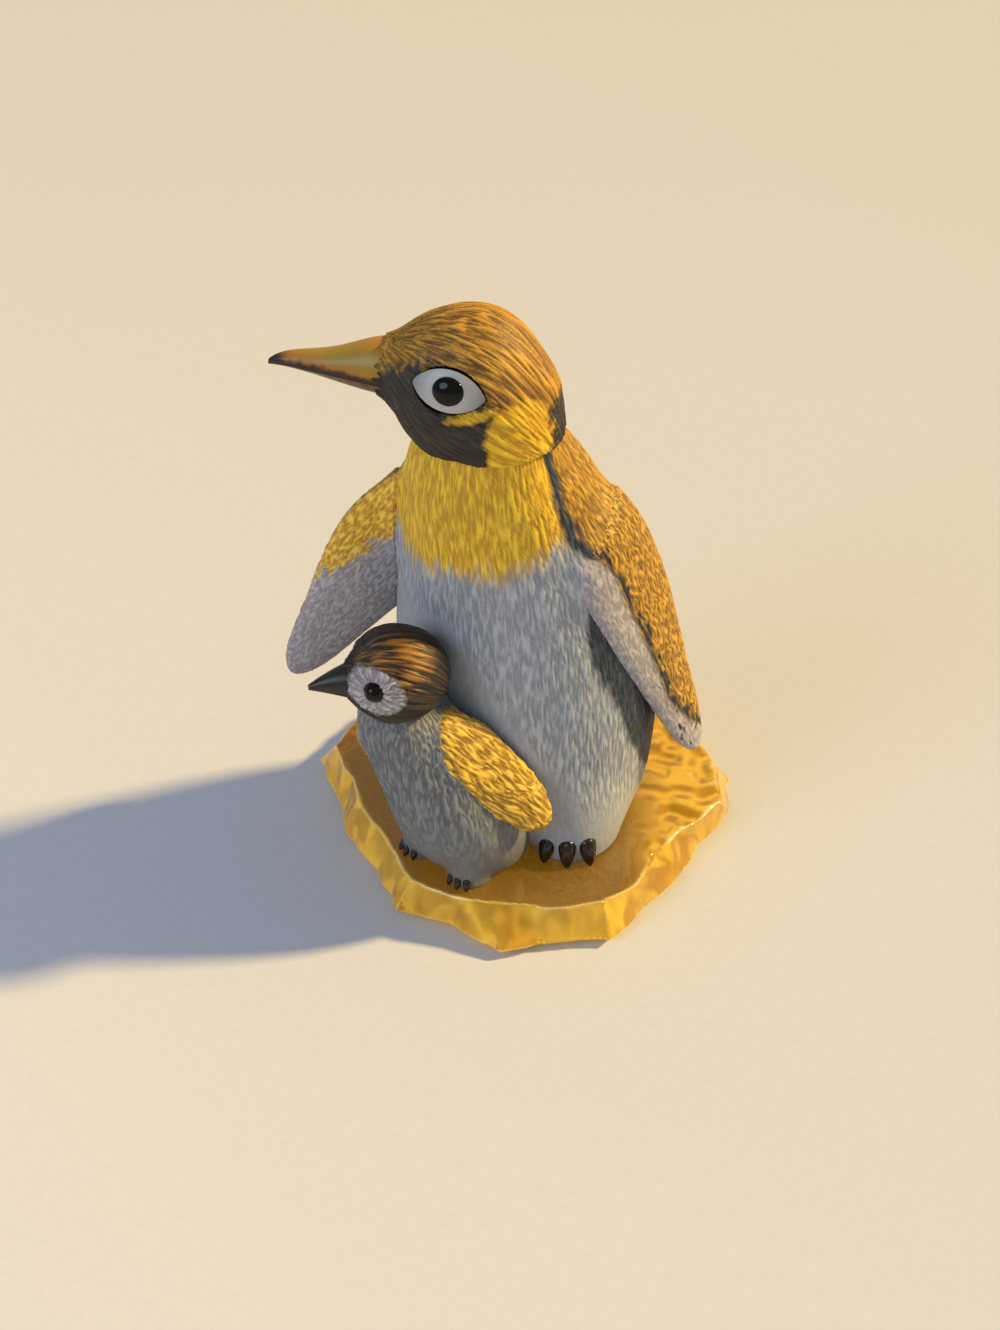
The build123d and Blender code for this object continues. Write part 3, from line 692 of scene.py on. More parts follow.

# %% [markdown]
# ## The adult's eyes: their own frame
# Each eye is an almond that follows the skull, so it has directions of its own: along to the bill, up to the
# crown and out of the head. The white's curve is measured on the solid by shooting rays at it, and a simple
# bowl is fitted to what they hit. Fitting gives a smoother white than a remeshed copy, whose rim comes out
# jagged.

# %% Frame and curve of an eye
CROWN = np.array([0.068, 0.015, 0.998])
LEFT = np.array([0.208, -0.978, 0.0])
EYE_HALF, LID_HALF, LID_ROUND = 4.0, 2.5, 4.45
EYE_TILT, EYE_SLANT = math.radians(22), math.radians(7)
EYE_SINK = 0.28
PUPIL_CLEAR, EYE_RAY_START = 1.8, 9
EyeFrame = namedtuple("EyeFrame", "middle along rise out curve")


def lid(along):
    """Half the height of the almond in mm, at a place along it."""
    return LID_HALF - LID_ROUND + np.sqrt(np.maximum(LID_ROUND ** 2 - np.square(along), 0))


def bowl(u, v):
    """The terms of a bowl: level, two slopes and three bends."""
    return np.array([u * 0 + 1, u, v, u * u, u * v, v * v]).T


def eye_place(eye, u, v, height):
    """Places in mm, from mm along the eye, up it and out of it."""
    return (eye.middle + np.multiply.outer(u, eye.along) + np.multiply.outer(v, eye.rise)
            + np.multiply.outer(height, eye.out))


def eye_frame(name, side):
    """Measures the white of the solid round its pupil, and sinks the fitted bowl a little."""
    low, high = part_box(name + "_pupil")
    level = CROWN * math.cos(EYE_TILT) - LEFT * side * math.sin(EYE_TILT)
    eye = EyeFrame(middle=np.array((low + high) / 2) / MM,
                   along=BILL * math.cos(EYE_SLANT) + level * math.sin(EYE_SLANT),
                   rise=level * math.cos(EYE_SLANT) - BILL * math.sin(EYE_SLANT),
                   out=LEFT * side * math.cos(EYE_TILT) + CROWN * math.sin(EYE_TILT), curve=None)
    white = BVHTree.FromObject(frame["nodes"][name + "_eye"], bpy.context.evaluated_depsgraph_get())
    spots, heights = [], []
    for u in np.linspace(-3.4, 3.4, 35):
        for v in np.linspace(-0.9, 0.9, 13) * lid(u):
            hit = white.ray_cast(Vector(eye_place(eye, u, v, EYE_RAY_START)) * MM, -Vector(eye.out))[0]
            if hit is not None and math.hypot(u, v) > PUPIL_CLEAR:
                spots.append(bowl(u, v))
                heights.append((np.array(hit) / MM - eye.middle) @ eye.out)
    curve = np.linalg.lstsq(np.array(spots), np.array(heights), rcond=None)[0]
    curve[0] -= EYE_SINK
    print(name, "eye: rays that hit the white:", len(spots))
    return eye._replace(curve=curve)


# %% [markdown]
# ## The adult's eyes: white and pupil
# On the real object the white is a painted almond and the pupil a low glossy bead on it. A flat grid is bent
# to the almond and the bowl and made a thin shell, so the rim is a clean line. The pupil is a ball that is
# flattened onto the same bowl.

# %% Whites and pupils
ALMOND_LENGTH, ALMOND_HEIGHT, SHELL = 0.98, 0.88, 1.2
PUPIL_ALONG, PUPIL_RISE, PUPIL_DOME = 1.68, 1.5, 0.5
eyes = []
for name, side in (("adult_left", 1), ("adult_right", -1)):
    eye = eye_frame(name, side)
    bpy.ops.object.select_all(action="DESELECT")
    bpy.ops.mesh.primitive_grid_add(x_subdivisions=90, y_subdivisions=40, size=2 * MM)
    white = bpy.context.object
    white.name = name + "_eye_skin"
    s, t, flat = points(white).T
    u = -side * EYE_HALF * np.sin(s * math.pi / 2) * ALMOND_LENGTH
    v = t * lid(u) * ALMOND_HEIGHT
    shape(white, eye_place(eye, u, v, bowl(u, v) @ eye.curve))
    shell = white.modifiers.new("shell", "SOLIDIFY")
    shell.thickness = SHELL * MM
    shell.offset = -1
    bpy.ops.object.modifier_apply(modifier="shell")
    bpy.ops.object.shade_smooth_by_angle(angle=math.radians(40))
    bpy.ops.mesh.primitive_uv_sphere_add(segments=64, ring_count=32, radius=MM, location=(0, 0, 0))
    pupil = bpy.context.object
    pupil.name = name + "_pupil_skin"
    s, t, height = points(pupil).T
    u, v = -side * PUPIL_ALONG * s, PUPIL_RISE * t
    shape(pupil, eye_place(eye, u, v, bowl(u, v) @ eye.curve + PUPIL_DOME * height))
    bpy.ops.object.shade_smooth()
    settle(white, "eye_white", name + "_eye")
    settle(pupil, "eye_bead", name + "_pupil")
    eyes.append((eye, white, pupil))

# %% [markdown]
# ## The adult's head: skin
# The skull is a remeshed copy of its solid. It is pressed down under each eye, so that the almond lies in it
# and no skin comes through. Below the ear patches it swells to meet the neck.

# %% Adult head: skin and eye beds
BED_ALONG, BED_RISE, BED_DEPTH, BED_FLOOR = 0.4, 0.35, 0.08, -2
head = mould("adult_head", "adult_head_skin", grain=0.15)
place = points(head)
for eye, white, pupil in eyes:
    u, v, height = ((place - eye.middle) @ way for way in (eye.along, eye.rise, eye.out))
    under = (np.abs(u) < EYE_HALF + BED_ALONG) & (np.abs(v) < lid(u) + BED_RISE) & (height > BED_FLOOR)
    spare = np.where(under, np.maximum(height - bowl(u, v) @ eye.curve + BED_DEPTH, 0), 0)
    place -= np.outer(spare, eye.out)
shape(head, place)
melt(head, body, reach=4.0, where=below_ear(points(head)))

# %% [markdown]
# ## The adult's head: tufts
# Round the bill's root the real skin ends in short uneven tufts that reach over the bill. They could be
# separate cones, but they are one skin with the head, so its rim is drawn forward and a little inward, by
# noise that changes round the bill.

# %% Adult head: tufts round the bill
TUFT_START, TUFT_RAMP, TUFTS = 7.9, 1.3, 6
TUFT_SHORT, TUFT_LONG, TUFT_CLOSE = 0.25, 1.1, 0.28
place = points(head)
rim = np.clip(((place - HEAD) @ BILL - TUFT_START) / TUFT_RAMP, 0, 1)
spoke = (place - HEAD - CROWN * 0.9) @ np.column_stack([LEFT, CROWN])
spoke /= np.linalg.norm(spoke, axis=1)[:, None] + 1e-6
tuft = np.clip(0.2 + ripple(np.column_stack([spoke * TUFTS, np.zeros(len(place))])), 0, 1)
tuft = rim * (TUFT_SHORT + TUFT_LONG * tuft)
place += np.outer(tuft, BILL) - TUFT_CLOSE * tuft[:, None] * (spoke @ np.array([LEFT, CROWN]))
shape(head, place)
print("longest tuft in mm:", np.round(tuft.max(), 2))

# %% [markdown]
# ## The adult's head: strokes
# The feathers start at the bill, run back over the crown and turn down at the nape. So the lie of the strokes
# is measured from the bill's root outwards, like the ribs of a fan.

# %% Adult head: strokes that fan out
FAN_CURL, HEAD_RELIEF = 4, 0.16


def unit(*parts):
    """A direction of length 1."""
    return np.array(parts) / np.linalg.norm(parts)


def fan(place, root, forward, up, side, radius):
    """The lie of feathers that fan out from a bill: two columns round the bill, one along the strokes."""
    away = place - root
    ahead, rise, aside = away @ forward, away @ up, away @ side
    ring = np.hypot(rise, aside) + 1e-6
    turn = np.arctan2(ring, -ahead)
    along = np.hypot(ahead, ring) + FAN_CURL * turn
    return np.column_stack([rise / ring * radius, aside / ring * radius, along])


lean_back = unit(*(0.86 * BILL + 0.5 * CROWN))
bill_root = HEAD + BILL * 8.5 + CROWN * 3
lie = fan(place, bill_root, lean_back, np.cross(LEFT, lean_back), LEFT, radius=10.0)
stroke = strokes(lie, width=0.38, length=1.6, sway=1.0)
press(head, (stroke - STROKE_MIDDLE) * HEAD_RELIEF)
print("raised share of the head:", np.round(np.mean(stroke > STROKE_MIDDLE), 2))

# %% [markdown]
# ## The adult's head: where each paint goes
# The mask is black, with a yellow ear patch that runs down the neck and a short yellow streak under the eye.
# The gold on the crown is painted light, where the warm lamp falls. Each patch is an oval or a line measured
# from the head's centre, with a ragged border.

# %% Adult head: masks and paint
ragged = ripple(place / 0.9) + 0.6 * ripple(place / 0.4 + 3)
ahead, rise, aside = (place - HEAD) @ BILL, (place - HEAD) @ CROWN, (place - HEAD) @ LEFT
ear = np.hypot((ahead + 5.9 - 0.12 * rise) / 3.5, (rise + 2.9) / 4.6) - 1
neck = np.hypot((ahead + 6.0 - 0.3 * np.minimum(rise + 4, 0)) / 3.4, (rise + 6.5) / 4.5) - 1
streak = np.hypot((ahead + 0.9) / 2.4, (rise - 0.2 + 0.3 * (ahead + 0.9)) / 0.66) - 1
side_on = within(3.3 - np.abs(aside) + 1.1 * ragged, 1.4)
patches = np.minimum(np.minimum(ear, neck) * 4, streak * 1.2)
yellow = within(patches + 0.3 * ragged, 0.7) * side_on
brow = np.interp(ahead, [-9.5, -8.3, -6.5, -3.5, -1.5, 1.5, 4, 6, 9],
                 [1.0, -1.0, -2.0, 0.4, 3.0, 4.9, 4.8, 4.2, 2.2])
# Painted light: gold over the crown, where the warm lamp falls.
gilt = within(brow - rise + 0.9 * ragged, 1.3)
keep(head, stroke=stroke, yellow=yellow, gilt=gilt)
dress(head, plumage("brushed_acrylic_black_mask_with_painted_light", ("#0b0a0a", "#3a342c"), [
    ("gilt", "#654614", "#cf9c2c"), ("yellow", "#c7960f", "#fad02c")], roughness=0.56))
settle(head, "adult_mask", "adult_head")

# %% [markdown]
# ## Feathers of a flipper
# A flipper is dark outside and pale inside, with a ragged border, and its strokes run from the shoulder to
# the tip. The two faces could be split into two pieces, but then a seam would show. So the way that each
# point faces tells the paint which side it is on.

# %% Strokes and sides of a flipper
def blade_ways(span, out):
    """The blade's own directions: across it, square out of it and along it."""
    chord = unit(*np.cross(span, out))
    return chord, np.cross(chord, span), span


def feather(piece, root, ways, width, length, relief, strip=None):
    """Presses strokes along the span. Gives lie, ragged noise, strokes, pale face and the line round it."""
    lie = np.column_stack([(points(piece) - root) @ way for way in ways])
    stroke = strokes(lie, width, length)
    ragged = ripple(lie / [0.7, 0.7, 1.8]) + 0.6 * ripple(lie / [0.35, 0.35, 0.9] + 4)
    border = outward(piece) @ ways[1] * 2.4 + 0.5 * ragged
    if strip:
        border = np.minimum(border, np.interp(lie[:, 2], *strip) - lie[:, 0] + 0.35 * ragged)
    pale = within(border, 0.7)
    press(piece, (stroke - STROKE_MIDDLE) * relief * (1 - 0.6 * pale))
    print(piece.name, "pale share:", np.round(pale.mean(), 2))
    line = within(np.abs(border - 0.5) - 0.35 + 0.45 * ragged, 0.5)
    return lie, ragged, stroke, pale, line


# %% [markdown]
# ## The adult's flippers
# They are slate outside, with gold over it that is painted light from the warm lamp, and pinkish white inside,
# with a dark broken line where the two paints meet. The left one hangs along the flank and shows a pale strip
# along its front edge, with dark flecks at the tip. The right one is held out over the chick, and the outer
# part of its pale face carries painted yellow light, where the warm lamp falls.

# %% Adult flippers
PALE_STRIP = ([0, 4, 9.5, 25.7, 31, 36], [4.6, 4.2, 3.8, 2.8, 1.2, -2.0])
# Where the painted yellow light on the right flipper's pale face begins, along the span.
PAINTED_YELLOW_LIGHT_EDGE = ([0, 3, 8, 13, 17], [1.5, -0.8, -2.6, -3.8, -5.4])
DASH = {"width": 0.33, "length": 1.1, "relief": 0.13}
# The gold and the yellow coats are painted light.
flipper_paint = plumage("brushed_acrylic_flipper_with_painted_light", SLATE, [
    ("gilt", *PAINTED_LIGHT_GOLD), ("pale", "#8f8d96", "#bab7be"), ("line", "#12151a", "#2e3740"),
    ("sunny", "#bf881a", "#ffd64a")])
for side, root, span, out, strip in (
        ("left", (10.9, -5.4, 49.4), unit(0.322, 0.178, -0.930), unit(0.86, 0.30, 0.35), PALE_STRIP),
        ("right", (-10.8, -5.4, 49.4), unit(-0.536, -0.02, -0.843), unit(-0.35, 0.88, 0.30), None)):
    cad_node = "adult_" + side + "_flipper"
    flipper = mould(cad_node, cad_node + "_skin", grain=0.132)
    melt(flipper, body, SHOULDER_REACH, within(SHOULDER_LOW - points(flipper)[:, 2], 6.0))
    ways = blade_ways(span, out)
    lie, ragged, stroke, pale, line = feather(flipper, np.array(root), ways, strip=strip, **DASH)
    if side == "left":
        line = np.maximum(line, within(0.62 - ragged, 0.3) * within(22 - lie[:, 2], 12))
    else:
        line = line * within(14 - lie[:, 2], 6)
        # Painted light: yellow on the outer part of the pale face, where the warm lamp falls.
        sunny = within(lie[:, 0] - np.interp(lie[:, 2], *PAINTED_YELLOW_LIGHT_EDGE) + 1.3 * ragged, 1.0)
        keep(flipper, sunny=pale * sunny)
    # The outside's gold coat is painted light.
    keep(flipper, stroke=stroke, pale=pale, gilt=1 - pale, line=line)
    dress(flipper, flipper_paint)
    settle(flipper, "adult_flipper", cad_node)

# %% [markdown]
# ## The chick's body
# The chick wears plain grey down. Its trunk is wrapped like the adult's, with an axis that leans towards the
# head. The strokes fade out towards the feet, where the real one is smooth.

# %% Chick body
CHICK_AXIS = ([6, 12, 18, 24, 29, 32], [-1.8, -2.5, -4.0, -6.6, -8.3, -8.7],
              [-17.2, -20.2, -21.0, -21.0, -20.2, -20.2])
CHICK_REACH, CHICK_SHOULDER_LOW = 1.6, 21
DOWN_GREY = ("#5c6066", "#888c91")
DOWN_RELIEF, DOWN_SMOOTH_TONE = 0.12, 0.3
chick = wrap("chick_body", columns=480, cuts=(9, 12), low=6.05, high=31.9, axis=CHICK_AXIS, fillet=1.4)
for flipper in ("chick_left_flipper", "chick_right_flipper"):
    melt(chick, frame["nodes"][flipper], CHICK_REACH, within(CHICK_SHOULDER_LOW - points(chick)[:, 2], 3.0))
place = points(chick)
ragged = ripple(place / [0.9, 0.9, 2.0])
smooth = within(place[:, 2] - 14 + ragged, 9.0)
stroke = strokes(place, width=0.36, length=1.9)
press(chick, (stroke - STROKE_MIDDLE) * DOWN_RELIEF * (1 - smooth))
keep(chick, stroke=stroke * (1 - 0.8 * smooth) + DOWN_SMOOTH_TONE * smooth)
dress(chick, plumage("brushed_acrylic_grey_down", DOWN_GREY, [], roughness=0.55))
settle(chick, "chick_down", "chick_body")

# %% [markdown]
# ## The chick's head: strokes
# The chick has a dark cap with a white disc round each eye. The cap's strokes fan out from the bill as on the
# adult, but inside the disc they run out from the eye like rays, so the two lies meet at the disc's rim.

# %% Chick head: strokes
CHICK_HEAD = np.array([-8.7, -21.3, 35.2])
CHICK_BILL = np.array([-0.848, -0.530, 0.018])
CHICK_LEFT = np.array([0.530, -0.848, 0.0])
CHICK_UP = np.array([0.0, 0.0, 1.0])
CAP_MIDDLE, CAP_RELIEF = 0.45, 0.2
chick_head = mould("chick_head", "chick_head_skin", grain=0.12)
place = points(chick_head)
ahead, rise, aside = ((place - CHICK_HEAD) @ way for way in (CHICK_BILL, CHICK_UP, CHICK_LEFT))
lean_back = unit(*(0.9 * CHICK_BILL + 0.44 * CHICK_UP))
bill_root = CHICK_HEAD + CHICK_BILL * 5.5 + CHICK_UP * 2
lie = fan(place, bill_root, lean_back, np.cross(CHICK_LEFT, lean_back), CHICK_LEFT, radius=6.0)
ragged = ripple(place / 0.7)
disc = np.hypot((ahead - 2.8) / 3.1, (rise - 0.8) / 2.8) - 1
face = within(disc * 3.2 + 0.25 * ragged, 0.5) * within(1.5 - np.abs(aside), 0.8)
away = np.column_stack([ahead - 2.9, rise - 1.1])
ring = np.linalg.norm(away, axis=1)
rays = np.column_stack([away / (ring[:, None] + 1e-6) * 2.4, ring])
stroke = np.where(face > 0.5, strokes(rays + 0.25 * ragged[:, None], width=0.34, length=1.4),
                  strokes(lie, width=0.4, length=1.8, sway=1.0))
press(chick_head, (stroke - CAP_MIDDLE) * CAP_RELIEF)
print("white share of the chick's head:", np.round(face.mean(), 2))

# %% [markdown]
# ## The chick's head: paint
# The cap is black, and the side that faces away from the adult carries gold that is painted light from the
# warm lamp. The discs are painted last, so their white covers the cap's colours.

# %% Chick head: paint
lit = np.hypot((ahead - 0.2) / 4.4, (rise - 4.2) / 2.8) - 1
# Painted light: gold on the cap's lit side, where the warm lamp falls.
gilt = within(lit * 3 + 0.6 * ragged, 1.5) * within(0.6 - aside, 1.6)
keep(chick_head, stroke=stroke, face=face, gilt=gilt)
dress(chick_head, plumage("brushed_acrylic_chick_cap_with_painted_light", ("#0c0b0b", "#3f352a"), [
    ("gilt", "#120d07", "#96681c"), ("face", "#837e83", "#c2bcc2")]))
settle(chick_head, "chick_cap", "chick_head")

# %% [markdown]
# ## The chick's left flipper
# It is held out over the chick's side and ends in a broad round tip. The solid's tip is narrower, so the copy
# is widened towards it before the strokes are pressed. Its outside carries gold that is painted light.

# %% Chick left flipper
CHICK_DASH = {"width": 0.4, "length": 1.8, "relief": 0.16}
chick_flipper_painted_light = plumage("brushed_acrylic_chick_flipper_with_painted_light", DOWN_GREY, [
    ("pale", "#8d8378", "#c9bda6"), ("sunny", "#93701a", "#f4c846")])


def chick_feathers_painted_light(flipper, root, ways, cad_node):
    """Strokes, painted gold light outside and pale paint inside."""
    lie, ragged, stroke, pale, line = feather(flipper, root, ways, **CHICK_DASH)
    # Painted light: gold on the outer face, where the warm lamp falls.
    sunny = within(0.12 - outward(flipper) @ ways[1] + 0.3 * ragged, 0.4)
    keep(flipper, stroke=stroke, pale=pale, sunny=sunny)
    dress(flipper, chick_flipper_painted_light)
    settle(flipper, "chick_down", cad_node)


root = np.array([-3.3, -21.2, 29.7])
ways = blade_ways(unit(0.698, 0.230, -0.679), unit(0.5, -0.6, 0.62))
flipper = mould("chick_left_flipper", "chick_left_flipper_skin", grain=0.115)
across, height, along = ((points(flipper) - root) @ way for way in ways)
wider = np.interp(along, [9, 11, 15, 18], [1, 1.15, 1.55, 2.0]) - 1
shape(flipper, points(flipper) + np.outer(wider * np.minimum(across, 0.3 * across), ways[0])
      + np.outer(0.3 * wider * height, ways[1]))
relax(flipper, 12)
melt(flipper, chick, CHICK_REACH, within(CHICK_SHOULDER_LOW - points(flipper)[:, 2], 3.0))
chick_feathers_painted_light(flipper, root, ways, "chick_left_flipper")

# %% [markdown]
# ## The chick's right flipper
# It lies flat on the side that is turned away. Most of its solid is sunk in the body, so a copy of it would
# show only a ragged remnant. A ball is flattened to a leaf instead, and laid on the down skin by shooting a
# ray from each of its points.

# %% Chick right flipper
LEAF_HALF_LENGTH, LEAF_HALF_WIDTH, LEAF_THICK = 8.4, 4.0, 1.3
LEAF_TAPER, LEAF_LOWEST, LEAF_RAY_START = 0.25, -3.5, 14
root = np.array([-12.6, -20.0, 27.2])
ways = blade_ways(unit(0.0, 0.42, -0.91), unit(-0.95, 0.12, 0.2))
chord, out, span = ways
bpy.ops.object.select_all(action="DESELECT")
bpy.ops.mesh.primitive_uv_sphere_add(segments=300, ring_count=150, radius=MM, location=(0, 0, 0))
flipper = bpy.context.object
flipper.name = "chick_right_flipper_skin"
aside, height, along = points(flipper).T
flat = (root + np.outer((1 + along) * LEAF_HALF_LENGTH, span)
        + np.outer(-aside * LEAF_HALF_WIDTH * (1 - LEAF_TAPER * along), chord))
skin = BVHTree.FromObject(chick, bpy.context.evaluated_depsgraph_get())
depth = np.full(len(flat), LEAF_LOWEST)
for at, spot in enumerate(flat):
    hit = skin.ray_cast(Vector(spot + out * LEAF_RAY_START) * MM, -Vector(out))[0]
    if hit is not None:
        depth[at] = max(depth[at], (np.array(hit) / MM - spot) @ out)
shape(flipper, flat + np.outer(depth + LEAF_THICK * height, out))
relax(flipper, 6)
bpy.ops.object.shade_smooth()
chick_feathers_painted_light(flipper, root, ways, "chick_right_flipper")

# %% [markdown]
# ## Paint of the adult's bill
# The bill is banded across its height: dark at the gape line, ochre on the sides, with a dark tip. The ochre
# and olive of the upper bill are painted light, where the warm lamp falls on its upper half. Masks on a fine
# mesh could do this too, but the bill keeps its solid, so the bands are measured in the shader, as a height
# above a line across the bill. A smear makes their borders uneven.

# %% Bill enamel
# Enamel, brushed over moulded PVC and left to level: smooth and half glossy, with soft lights and no bristle
# marks. Its colours run into each other in smears about 0.9 mm wide.
BILL_SMEAR, BILL_SMEAR_DEPTH = 0.9, 0.1
TIP_START, TIP_END = 20.6, 22.8


def bill_enamel(name, bands, roughness):
    """Enamel in bands, given as heights in mm above the gape line with a colour, and a dark tip."""
    material, tree, shader = blank(name)
    coords = node(tree, "ShaderNodeTexCoord").outputs["Object"]
    smear = node(tree, "ShaderNodeTexNoise",
                 {"Vector": coords, "Scale": 1 / (BILL_SMEAR * MM), "Detail": 4.0}).outputs["Fac"]
    above, along = [node(tree, "ShaderNodeVectorMath", {0: coords, 1: tuple(way / MM)},
                         operation="DOT_PRODUCT").outputs["Value"] for way in (CROWN, BILL)]
    height = node(tree, "ShaderNodeMath", {0: smear, 1: 1.1, 2: above}, operation="MULTIPLY_ADD").outputs[0]
    gape = float(np.dot(HEAD + BILL * 15, CROWN))
    low, high = gape + bands[0][0], gape + bands[-1][0]
    share = node(tree, "ShaderNodeMapRange", {"Value": height, "From Min": low, "From Max": high}).outputs[0]
    ramp = node(tree, "ShaderNodeValToRGB", {0: share})
    while len(ramp.color_ramp.elements) < len(bands):
        ramp.color_ramp.elements.new(0.5)
    for stop, (at, code) in zip(ramp.color_ramp.elements, bands):
        stop.position = (gape + at - low) / (high - low)
        stop.color = paint(code)
    reach = node(tree, "ShaderNodeMath", {0: smear, 1: 1.6, 2: along}, operation="MULTIPLY_ADD").outputs[0]
    base = float(HEAD @ BILL)
    tip = node(tree, "ShaderNodeMapRange",
               {"Value": reach, "From Min": base + TIP_START, "From Max": base + TIP_END}).outputs[0]
    tipped = node(tree, "ShaderNodeMix", {0: tip, 6: ramp.outputs["Color"], 7: paint("#22150b")},
                  data_type="RGBA").outputs[2]
    tree.links.new(tipped, shader.inputs["Base Color"])
    bump = node(tree, "ShaderNodeBump", {"Height": smear, "Strength": 0.25, "Distance": BILL_SMEAR_DEPTH * MM})
    tree.links.new(bump.outputs["Normal"], shader.inputs["Normal"])
    shader.inputs["Roughness"].default_value = roughness
    return material


# The upper bill's ochre and olive bands are painted light from the warm lamp.
UPPER_BANDS_WITH_PAINTED_LIGHT = [(0.45, "#17100a"), (0.85, "#33200c"), (1.3, "#a8741a"), (2.7, "#a08a26"), (4.4, "#b27e20")]
LOWER_BANDS = [(-1.6, "#15100c"), (-0.5, "#2a1a10"), (0.2, "#8a5426"), (0.8, "#5a3620"), (1.6, "#15100c")]
upper_enamel = bill_enamel("brushed_enamel_upper_bill_with_painted_light", UPPER_BANDS_WITH_PAINTED_LIGHT, roughness=0.38)
lower_enamel = bill_enamel("brushed_enamel_lower_bill", LOWER_BANDS, roughness=0.3)
dress(frame["nodes"]["adult_upper_bill"], upper_enamel)
dress(frame["nodes"]["adult_lower_bill"], lower_enamel)
print("the bill's dark tip starts", TIP_START, "mm from the head's centre")

# %% [markdown]
# ## Paint of the small black parts
# The chick's bill is half glossy, and its eyes and the adult's pupils are glossy beads. The chick's solids have
# the right shape already, so they stay and only get paint. One recipe of two close blacks serves all of these.

# %% Black enamel and lacquer
def black_coat(name, low, high, roughness, cloud_size):
    """Two close colours in soft clouds of a size in mm, levelled almost smooth."""
    material, tree, shader = blank(name)
    coords = node(tree, "ShaderNodeTexCoord").outputs["Object"]
    cloud = node(tree, "ShaderNodeTexNoise",
                 {"Vector": coords, "Scale": 1 / (cloud_size * MM), "Detail": 5.0}).outputs["Fac"]
    tone = node(tree, "ShaderNodeMix", {0: cloud, 6: paint(low), 7: paint(high)}, data_type="RGBA")
    tree.links.new(tone.outputs[2], shader.inputs["Base Color"])
    bump = node(tree, "ShaderNodeBump", {"Height": cloud, "Strength": 0.2, "Distance": 0.08 * MM})
    tree.links.new(bump.outputs["Normal"], shader.inputs["Normal"])
    shader.inputs["Roughness"].default_value = roughness
    return material


# Black enamel, brushed over moulded PVC: half glossy, with a soft light along the bill's ridge.
bill_black = black_coat("brushed_enamel_chick_bill", "#0e0c0b", "#2a2622", roughness=0.35, cloud_size=1.2)
dress(frame["nodes"]["chick_bill"], bill_black)

# Gloss black lacquer, dropped on as a bead: deep black with one small sharp light, so an eye looks wet.
bead_lacquer = black_coat("gloss_black_lacquer_bead", "#030303", "#080808", roughness=0.08, cloud_size=1.5)
bead_lacquer.node_tree.nodes["Principled BSDF"].inputs["Specular IOR Level"].default_value = 0.25
beads = [frame["nodes"]["chick_left_eye"], frame["nodes"]["chick_right_eye"]]
beads += [pupil for eye, white, pupil in eyes]
for bead in beads:
    dress(bead, bead_lacquer)
print("glossy beads:", len(beads))

# %% [markdown]
# ## Paint of the eye whites
# The whites are bright round the pupil and greyer towards the corners: painted shade, where the lids shade
# them. Here the distance from the nearer pupil fades one tone into the other.

# %% Eye white enamel
# White enamel, brushed on: smooth and half glossy, so it catches a soft light. Its grey corners are painted
# shade.
CORNER_SHADE_START, CORNER_SHADE_END = 2.2, 4.4
white_enamel, tree, shader = blank("white_enamel_with_painted_shade")
coords = node(tree, "ShaderNodeTexCoord").outputs["Object"]
gaps = []
for name in ("adult_left_pupil", "adult_right_pupil"):
    low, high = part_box(name)
    gaps.append(node(tree, "ShaderNodeVectorMath", {0: coords, 1: (low + high) / 2},
                     operation="DISTANCE").outputs["Value"])
gap = node(tree, "ShaderNodeMath", {0: gaps[0], 1: gaps[1]}, operation="MINIMUM").outputs[0]
# Painted shade: grey towards the corners of each white.
corner_shade = node(tree, "ShaderNodeMapRange",
            {"Value": gap, "From Min": CORNER_SHADE_START * MM, "From Max": CORNER_SHADE_END * MM}).outputs[0]
tone = node(tree, "ShaderNodeMix", {0: corner_shade, 6: paint("#b2b3b6"), 7: paint("#7d7e83")}, data_type="RGBA")
tree.links.new(tone.outputs[2], shader.inputs["Base Color"])
shader.inputs["Roughness"].default_value = 0.35
for eye, white, pupil in eyes:
    dress(white, white_enamel)
print("whites:", [white.name for eye, white, pupil in eyes])

# %% [markdown]
# ## The ice floe: shape
# The slab is cast in clear resin. Its flat top is calm, and its rim is chipped into uneven waves. The waves
# could be sculpted, but noise that pulls the rim in gives the same look and can be repeated. The sharp places
# are then found by smoothing the skin and asking how far each point moved.

# %% Ice floe: waves, chips and edges
TOP_EDGE = 5.75
RIM_START, RIM_RAMP = 15, 8
LUMPY_WAY, LUMPY_START, LUMPY_RAMP = [0.94, 0.342, 0], 12, 7
floe = mould("ice_floe", "ice_floe_resin", grain=0.29, even=3)
place = points(floe)
radius = np.hypot(place[:, 0], place[:, 1])
rim = np.clip((radius - RIM_START) / RIM_RAMP, 0, 1)
wave = ripple(place / [4.2, 4.2, 9.0]) * 0.55 + ripple(place / [2.3, 2.3, 6.0] + 7) * 0.2
place[:, :2] *= (1 - rim * np.maximum(wave + 0.25, 0) / np.maximum(radius, 1))[:, None]
lumpy = np.clip((place @ LUMPY_WAY - LUMPY_START) / LUMPY_RAMP, 0, 1) * within(5.6 - place[:, 2], 0.4)
place[:, 2] -= lumpy * np.maximum(ripple(place / [3.0, 3.0, 9.0] + 2) * 0.7 + 0.25, 0)
shape(floe, place)
crisp = points(floe)
up = outward(floe)
relax(floe, 10)
bend = np.einsum("ij,ij->i", crisp - points(floe), up)
shape(floe, crisp)
# The lumpy part counts as rim, so it takes the rim's lighter colour and painted glow.
top = within(TOP_EDGE - crisp[:, 2], 0.2) * within(0.9 - up[:, 2], 0.1) * (1 - lumpy)
keep(floe, chip=0.5 + 0.9 * ripple(up * 3.5 + 4.2), top=top, edge=np.clip(bend / 0.09 - 0.3, 0, 1))
print("bend in mm:", np.round(np.percentile(bend, [5, 50, 95, 99.5]), 3))
